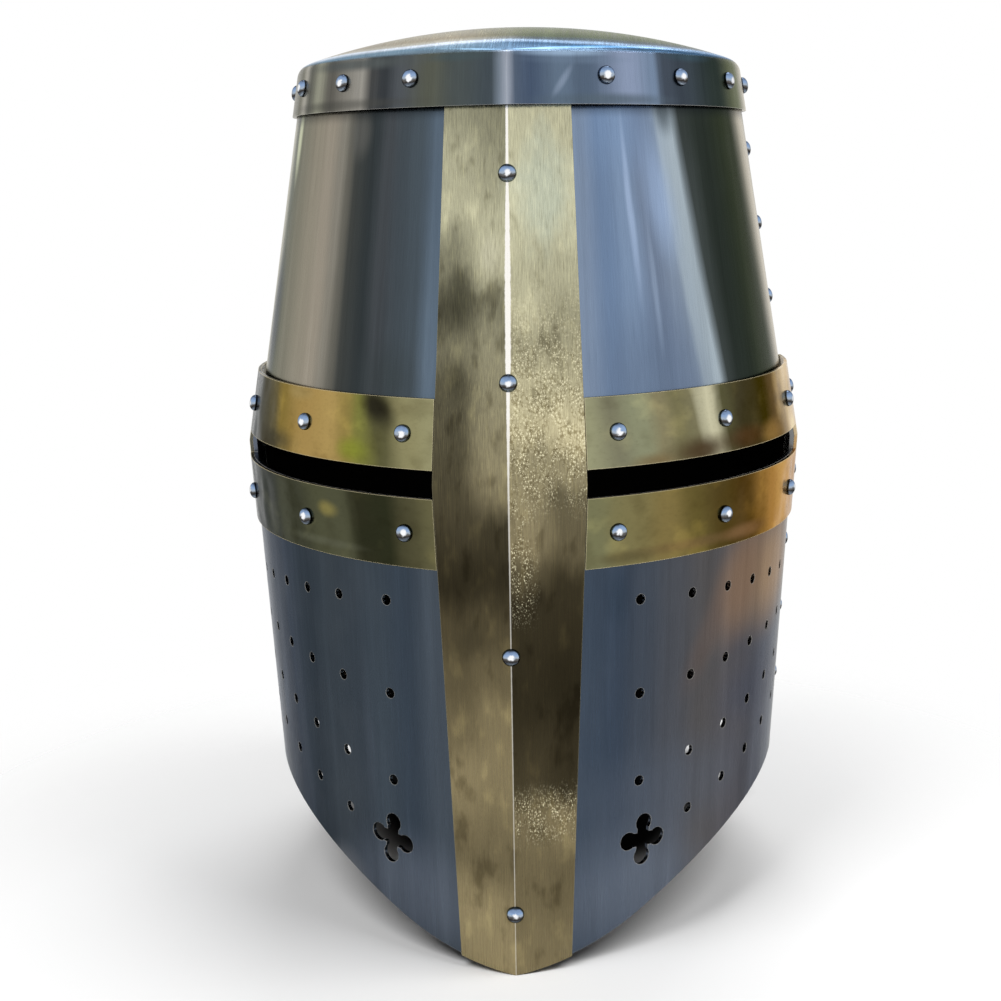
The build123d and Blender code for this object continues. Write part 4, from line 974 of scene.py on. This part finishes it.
# %% Measure rivets
def merged(name):
    """A copy of a solid's mesh with its loose triangles joined."""
    form = bmesh.new()
    form.from_mesh(helm[name].data)
    bmesh.ops.remove_doubles(form, verts=form.verts, dist=1e-6)
    return form


def islands(form):
    """The faces of each loose part."""
    left, found = set(form.faces), []
    while left:
        stack, group = [left.pop()], []
        while stack:
            face = stack.pop()
            group.append(face)
            for edge in face.edges:
                for other in edge.link_faces:
                    if other in left:
                        left.remove(other)
                        stack.append(other)
        found.append(group)
    return found


def measure_rivet(faces):
    """Seat, axis and sizes of one rivet, in metres."""
    areas, total, weighted = {}, 0.0, Vector((0, 0, 0))
    for face in faces:
        key = tuple(round(part, 2) for part in face.normal)
        areas[key] = areas.get(key, 0.0) + face.calc_area()
        total += face.calc_area()
        weighted += face.calc_center_median() * face.calc_area()
    middle = weighted / total
    axis = Vector(max(areas, key=areas.get)).normalized()
    flat = max(faces, key=lambda face: (round(abs(face.normal.dot(axis)), 3), face.calc_area()))
    axis = flat.normal.copy()
    if axis.dot(middle - Vector((0, AXIS_Y, 160)) * MM) < 0:
        axis = -axis
    spots = np.array([corner.co for corner in {v for face in faces for v in face.verts}]) - np.array(middle)
    heights = spots @ np.array(axis)
    radii = np.linalg.norm(spots - np.outer(heights, axis), axis=1)
    top, low = heights.max(), heights.min()
    outer = heights > (top + low) / 2
    head = radii[outer].max()
    seat = heights[outer & (radii > 0.97 * head)].min()
    tail = radii[~outer].max()
    tail_top = heights[~outer & (radii > 0.97 * tail)].max()
    shank = radii[(heights > low + 0.3 * MM) & (heights <= seat + 0.01 * MM) & (radii > 0.5 * MM)].min()
    return {
        "seat": middle + axis * float(seat), "axis": axis, "head_radius": float(head),
        "head_height": float(top - seat), "grip": float(seat - tail_top), "tail_radius": float(tail),
        "tail_height": float(tail_top - low), "shank_radius": float(min(shank, tail * 0.8)),
    }


def rivets_of(name):
    """Every rivet of a node, in an order that doesn't change."""
    form = merged(name)
    found = [measure_rivet(group) for group in islands(form)]
    form.free()
    return sorted(found, key=lambda rivet: tuple(round(part, 5) for part in rivet["seat"]))


# %% [markdown]
# Making one piece for each group of rivets
#
# A modifier's inputs are set by their identifiers before the object is first evaluated. The result is
# kept as a plain mesh and the modifier is removed.

# %% Set the rivets
def grow(piece, tree, **values):
    """Runs a Geometry Nodes tree on a piece and keeps its result as a plain mesh."""
    step = piece.modifiers.new(tree.name, "NODES")
    step.node_group = tree
    for item in tree.interface.items_tree:
        if item.in_out == "INPUT" and item.name in values:
            step[item.identifier] = values[item.name]
    keep_result(piece)


def keep_result(piece):
    """Turns a piece's live modifiers into its mesh."""
    bpy.context.view_layer.update()
    graph = bpy.context.evaluated_depsgraph_get()
    old = piece.data
    made = bpy.data.meshes.new_from_object(piece.evaluated_get(graph), depsgraph=graph)
    piece.modifiers.clear()
    piece.data = made
    made.name = piece.name
    bpy.data.meshes.remove(old)


def triangles(piece):
    """How many triangles a piece has."""
    piece.data.calc_loop_triangles()
    return len(piece.data.loop_triangles)


def set_rivets(node_name, seed, body="shell", dents=0.22):
    """Replaces a node's rivets by finished ones."""
    found = rivets_of(node_name)
    mesh = bpy.data.meshes.new(node_name + "_points")
    mesh.from_pydata([rivet["seat"] for rivet in found], [], [])
    sizes = {
        "axis": [rivet["axis"] for rivet in found],
        "head_size": [(r["head_radius"], r["head_radius"], r["head_height"]) for r in found],
        "shank_size": [(r["shank_radius"], r["shank_radius"], r["grip"]) for r in found],
        "tail_size": [(r["tail_radius"], r["tail_radius"], r["tail_height"]) for r in found],
        "tail_offset": [-r["axis"] * r["grip"] for r in found],
    }
    for name, values in sizes.items():
        held = mesh.attributes.new(name, "FLOAT_VECTOR", "POINT")
        for slot, value in zip(held.data, values):
            slot.vector = value
    piece = new_piece(node_name + "_set", mesh)
    grow(
        piece, rivet_tree, Head=head_shape, Shank=shank_shape, Tail=tail_shape,
        Dents=dents * MM, Seed=seed, Finish=rivet_steel,
    )
    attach(piece, body)
    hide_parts(node_name)
    first = found[0]
    in_mm = {part: round(first[part] / MM, 2) for part in ("head_radius", "head_height", "grip", "tail_radius")}
    print(f"{node_name}: {len(found)} rivets, {in_mm}, {triangles(piece)} triangles")


RIVET_NODES = (
    "crown_rivets", "upright_rivets", "arm_rivets_right", "arm_rivets_left", "upper_seam_rivets",
    "lower_seam_rivets", "waist_rivets", "liner_rivets", "patch_rivets", "strap_rivets",
)
for count, name in enumerate(RIVET_NODES):
    set_rivets(name, seed=count + 3)

# %% [markdown]
# Leather
#
# The lining and the chin strap are oiled leather. Its grain is a field of small cells with creases
# between them, which a Voronoi texture gives, and slow stains come from noise. Cut edges are darker,
# because they were burnished. Leather isn't a metal, so its gloss comes from a rough coat of wax.

# %% Leather finish
def leather(name, base, dark, cell=1.25, rough=0.56):
    """Oiled leather with grain cells of about this many mm."""
    finish = Finish(name)
    tree = finish.tree
    stain = finish.cloud((0.05, 0.05, 0.05), detail=5.0, rough=0.65)
    colour = ramp(tree, stain, [(0.3, dark), (0.52, base), (0.72, tuple(min(part * 1.45, 1.0) for part in base))])
    cells = vector_maths(tree, "MULTIPLY", finish.point, (1 / cell,) * 3)
    bent = add_node(tree, "ShaderNodeTexNoise", {"Vector": cells, "Scale": 1.4, "Detail": 2.0})
    cells = vector_maths(tree, "ADD", cells, vector_maths(tree, "MULTIPLY", bent.outputs["Color"], (0.5, 0.5, 0.5)))
    grain = add_node(tree, "ShaderNodeTexVoronoi", {"Vector": cells, "Scale": 1.0}, feature="DISTANCE_TO_EDGE")
    crease = soft_step(tree, grain.outputs["Distance"], 0.0, 0.14)
    colour = mix(tree, crease, mix(tree, 0.6, colour, dark), colour)
    pores = finish.cloud((3.0, 3.0, 3.0), detail=2.0)
    rub = finish.edge_share(0.8)
    colour = mix(tree, maths(tree, "MULTIPLY", rub, 0.6), colour, tuple(part * 0.5 for part in dark))
    gloss = soft_step(tree, stain, 0.3, 0.7, rough, rough - 0.16)
    relief = [(crease, 0.10), (pores, 0.03), (stain, 0.6)]
    more = {"IOR": 1.45, "Coat Weight": 0.12, "Coat Roughness": 0.35}
    return finish.close(colour, gloss, relief, bevel=0, metal=0.0, tint=(1, 1, 1), **more)


lining_leather = leather("lining_leather_oiled", (0.235, 0.125, 0.060), (0.085, 0.042, 0.020))
strap_leather = leather("strap_leather_waxed", (0.150, 0.078, 0.038), (0.045, 0.022, 0.011), cell=1.0, rough=0.46)

# %% [markdown]
# Leather pieces
#
# The CAD solids of the leather are sharp plates. A Voxel Remesh of a merged copy gives an even skin,
# and smoothing it rounds the cut edges. A short Geometry Nodes tree then presses shallow
# wrinkles into it, only inwards, so that the piece stays in the room that its solid holds.

# %% Leather skin
wrinkle_tree, given = new_tree("leather_wrinkles", ("Depth", "NodeSocketFloat"), ("Size", "NodeSocketFloat"))
noise = add_node(wrinkle_tree, "ShaderNodeTexNoise", {"Detail": 3.0, "Roughness": 0.55, "Scale": given["Size"]})
press = maths(wrinkle_tree, "MULTIPLY", maths(wrinkle_tree, "MULTIPLY", noise.outputs[0], given["Depth"]), -1.0)
end_tree(wrinkle_tree, pushed(wrinkle_tree, given["Geometry"], press))


LINING = {"body": "shell", "slot": "lining_leather", "finish": lining_leather}
STRAP = {"body": "chin_strap", "slot": "strap_leather", "finish": strap_leather, "size": 90.0, "rounds": 2}


def leather_piece(node_name, voxel, body, slot, finish, depth=0.22, size=55.0, rounds=3):
    """A leather piece that stands for a node."""
    piece = new_piece(node_name + "_leather", as_mesh(merged(node_name), node_name + "_leather"))
    skin = piece.modifiers.new("even skin", "REMESH")
    skin.mode = "VOXEL"
    skin.voxel_size = voxel * MM
    soften = piece.modifiers.new("round the edges", "SMOOTH")
    soften.factor = 0.5
    soften.iterations = rounds
    keep_result(piece)
    grow(piece, wrinkle_tree, Depth=depth * MM, Size=size)
    piece.data.materials.clear()
    piece.data.materials.append(finish)
    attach(piece, body)
    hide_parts(node_name)
    print(f"{piece.name}: {triangles(piece)} triangles")
    return piece


headband = leather_piece("liner_headband", 1.1, **LINING)
tongues = [leather_piece(f"liner_tongue_{count}", 0.85, **LINING) for count in range(1, 9)]
crown_patch = leather_piece("liner_crown_patch", 0.75, **LINING)
strap_left = leather_piece("chin_strap_left", 0.5, depth=0.12, **STRAP)
strap_right = leather_piece("chin_strap_right", 0.5, depth=0.12, **STRAP)
keeper = leather_piece("strap_keeper", 0.4, depth=0.08, **STRAP)

# %% [markdown]
# Stitches by Geometry Nodes
#
# Waxed thread hems the headband, holds the tongues to it and edges the chin strap. Each row starts as a line of
# points on the leather. The tree turns the line into a curve, puts a point at every stitch length, and
# lays a short spindle along the curve at each, with a little random turn from a fixed seed. A spindle has
# only a few dozen faces, because there are hundreds of them.

# %% Thread and stitch tree
def thread_finish():
    """Waxed thread."""
    finish = Finish("waxed_thread")
    tree = finish.tree
    ply = finish.cloud((2.5, 2.5, 2.5), detail=3.0)
    colour = ramp(tree, ply, [(0.3, (0.30, 0.235, 0.150)), (0.7, (0.62, 0.53, 0.38))])
    return finish.close(colour, 0.62, [(ply, 0.05)], bevel=0, metal=0.0, tint=(1, 1, 1))


thread = thread_finish()
stitch_shape = spun("stitch_shape", [(0, 0.5), (0.75, 0.36), (1, 0), (0.75, -0.36), (0, -0.5)], turns=7)
stitch_tree, given = new_tree(
    "sew_row", ("Stitch", "NodeSocketObject"), ("Spacing", "NodeSocketFloat"), ("Length", "NodeSocketFloat"),
    ("Thickness", "NodeSocketFloat"), ("Seed", "NodeSocketInt"), ("Thread", "NodeSocketMaterial"),
)
path = add_node(stitch_tree, "GeometryNodeMeshToCurve", {0: given["Geometry"]})
inputs = {"Curve": path.outputs[0], "Length": given["Spacing"]}
spots = add_node(stitch_tree, "GeometryNodeCurveToPoints", inputs, mode="LENGTH").outputs
lie = add_node(stitch_tree, "FunctionNodeAlignRotationToVector", {"Vector": spots["Tangent"]}, axis="Z")
inputs = {0: (-0.12, -0.12, 0.0), 1: (0.12, 0.12, 3.0), "Seed": given["Seed"]}
tilt = add_node(stitch_tree, "FunctionNodeRandomValue", inputs, data_type="FLOAT_VECTOR")
tilt = add_node(stitch_tree, "FunctionNodeEulerToRotation", {0: tilt.outputs[0]})
lie = turned_again(stitch_tree, lie.outputs[0], tilt.outputs[0])
size = combine(stitch_tree, given["Thickness"], given["Thickness"], given["Length"])
laid = copies(stitch_tree, given["Stitch"], spots["Points"], lie, size)
solid = add_node(stitch_tree, "GeometryNodeRealizeInstances", {0: laid}).outputs[0]
end_tree(stitch_tree, solid, given["Thread"])

# %% [markdown]
# Where the rows run
#
# In the lining, a row is found by looking outward from the helm's axis: a ray at each degree meets the
# leather's inner face. On the chin strap, a section through a copy of the solid near each edge gives a
# loop that runs along both faces of the leather.

# %% Rows of stitches
def ring_row(piece, height, turns, sink=0.05):
    """Points on a lining piece's inner face, at a height, over a range of azimuths in degrees."""
    form = bmesh.new()
    form.from_mesh(piece.data)
    skin = BVHTree.FromBMesh(form)
    form.free()
    eye = Vector((0, AXIS_Y, height)) * MM
    rows, row = [], []
    for turn in turns:
        look = Vector((math.sin(math.radians(turn)), -math.cos(math.radians(turn)), 0))
        hit = skin.ray_cast(eye, look)[0]
        if hit is not None:
            row.append(hit + look * sink * MM)
        elif row:
            rows.append(row)
            row = []
    return rows + ([row] if row else [])


def strap_rows(node_name, offset):
    """The loop of a section through a strap at this distance from its middle line."""
    form = merged(node_name)
    low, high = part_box(node_name)
    cut = Vector((0, (low.y + high.y) / 2 + offset * MM, 0))
    geometry = form.verts[:] + form.edges[:] + form.faces[:]
    made = bmesh.ops.bisect_plane(form, geom=geometry, plane_co=cut, plane_no=(0, 1, 0))["geom_cut"]
    edges = [item for item in made if isinstance(item, bmesh.types.BMEdge)]
    lines = [(edge.verts[0].co.copy(), edge.verts[1].co.copy()) for edge in edges]
    form.free()
    return lines


def lines_mesh(name, rows=(), pairs=()):
    """A mesh of edges from rows of points or from pairs of points, with doubles merged."""
    form = bmesh.new()
    for row in rows:
        corners = [form.verts.new(spot) for spot in row]
        for pair in zip(corners, corners[1:]):
            form.edges.new(pair)
    for start, end in pairs:
        form.edges.new((form.verts.new(start), form.verts.new(end)))
    bmesh.ops.remove_doubles(form, verts=form.verts, dist=1e-6)
    return as_mesh(form, name)


def sew(name, mesh, body, slot, spacing, length, thickness, seed):
    """Sews a row and lets it ride on a body."""
    piece = new_piece(name, mesh)
    grow(
        piece, stitch_tree, Stitch=stitch_shape, Spacing=spacing * MM, Length=length * MM,
        Thickness=thickness * MM, Seed=seed, Thread=thread,
    )
    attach(piece, body)
    print(f"{name}: {triangles(piece)} triangles")
    return piece


HEM_Z, TONGUE_SEAM_Z = 204.0, 236.5
STRAP_SEAMS = (-6.6, 6.6)
FEWEST_POINTS = 5
on_lining = {"body": "shell", "slot": "lining_leather", "thickness": 0.32}
on_strap = {"body": "chin_strap", "slot": "strap_leather", "thickness": 0.28}
hem_rows = ring_row(headband, HEM_Z, [step * 1.5 for step in range(241)])
half_turns = [step * 0.5 for step in range(721)]
tongue_rows = [row for tongue in tongues for row in ring_row(tongue, TONGUE_SEAM_Z, half_turns)]
tongue_rows = [row for row in tongue_rows if len(row) >= FEWEST_POINTS]
sewn = {
    "hem": sew("headband_hem_stitches", lines_mesh("hem", hem_rows), spacing=4.2, length=3.2, seed=5, **on_lining),
    "tongues": sew(
        "tongue_stitches", lines_mesh("tongue_rows", tongue_rows), spacing=3.8, length=2.9, seed=7, **on_lining
    ),
}
for side in ("left", "right"):
    lines = [line for offset in STRAP_SEAMS for line in strap_rows(f"chin_strap_{side}", offset)]
    mesh = lines_mesh("strap_rows", pairs=lines)
    sewn[side] = sew(f"strap_stitches_{side}", mesh, spacing=3.4, length=2.6, seed=11, **on_strap)

# %% [markdown]
# The leather pieces
#
# Leather is cut flat before it is fitted. The stitches go with the leather that they are sewn to, and the
# keeper with the strap that it slides on.

print("declared", 4 + len(tongues), "leathers")

# %% [markdown]
# Small fittings
#
# The buckle, its prong, the washers and the spacers are right as solids and only need finishes: satin
# brass with fine scratches for the buckle, plain ground steel for the rest.

# %% Fittings
def satin(name, colour_of, scratch, rough, tint):
    """A plain satin metal with fine scratches in every direction."""
    finish = Finish(name)
    tree = finish.tree
    warp = finish.cloud((0.25, 0.25, 0.25), detail=3.0)
    lines = finish.cloud(scratch, detail=4.0, rough=0.7)
    colour = ramp(tree, warp, [(0.3, tuple(part * 0.55 for part in colour_of)), (0.7, colour_of)])
    colour = layer(tree, colour, lines, 0.55, 0.3, 0.45, (0.25, 0.25, 0.25), "MULTIPLY")
    colour = mix(tree, maths(tree, "MULTIPLY", finish.edge_share(0.25), 0.4), colour, (0.75, 0.7, 0.6))
    gloss = soft_step(tree, lines, 0.3, 0.7, rough, rough + 0.12)
    return finish.close(colour, gloss, [(lines, 0.02)], bevel=0.2, tint=tint)


dress(
    satin("buckle_brass_satin", (0.50, 0.36, 0.14), (1.4, 3.0, 1.4), 0.26, (0.5, 0.42, 0.25)),
    "buckle_frame", "buckle_prong",
)
dress(
    satin("washer_steel", (0.34, 0.36, 0.39), (3.0, 1.2, 3.0), 0.3, (0.4, 0.4, 0.4)),
    "liner_washers", "strap_washers", "strap_spacers",
)

# %% [markdown]
# Finish
#
# The unit shapes have done their work and are removed.

# %% Remove the unit shapes
for shape in (head_shape, shank_shape, tail_shape, stitch_shape):
    bpy.data.objects.remove(shape)
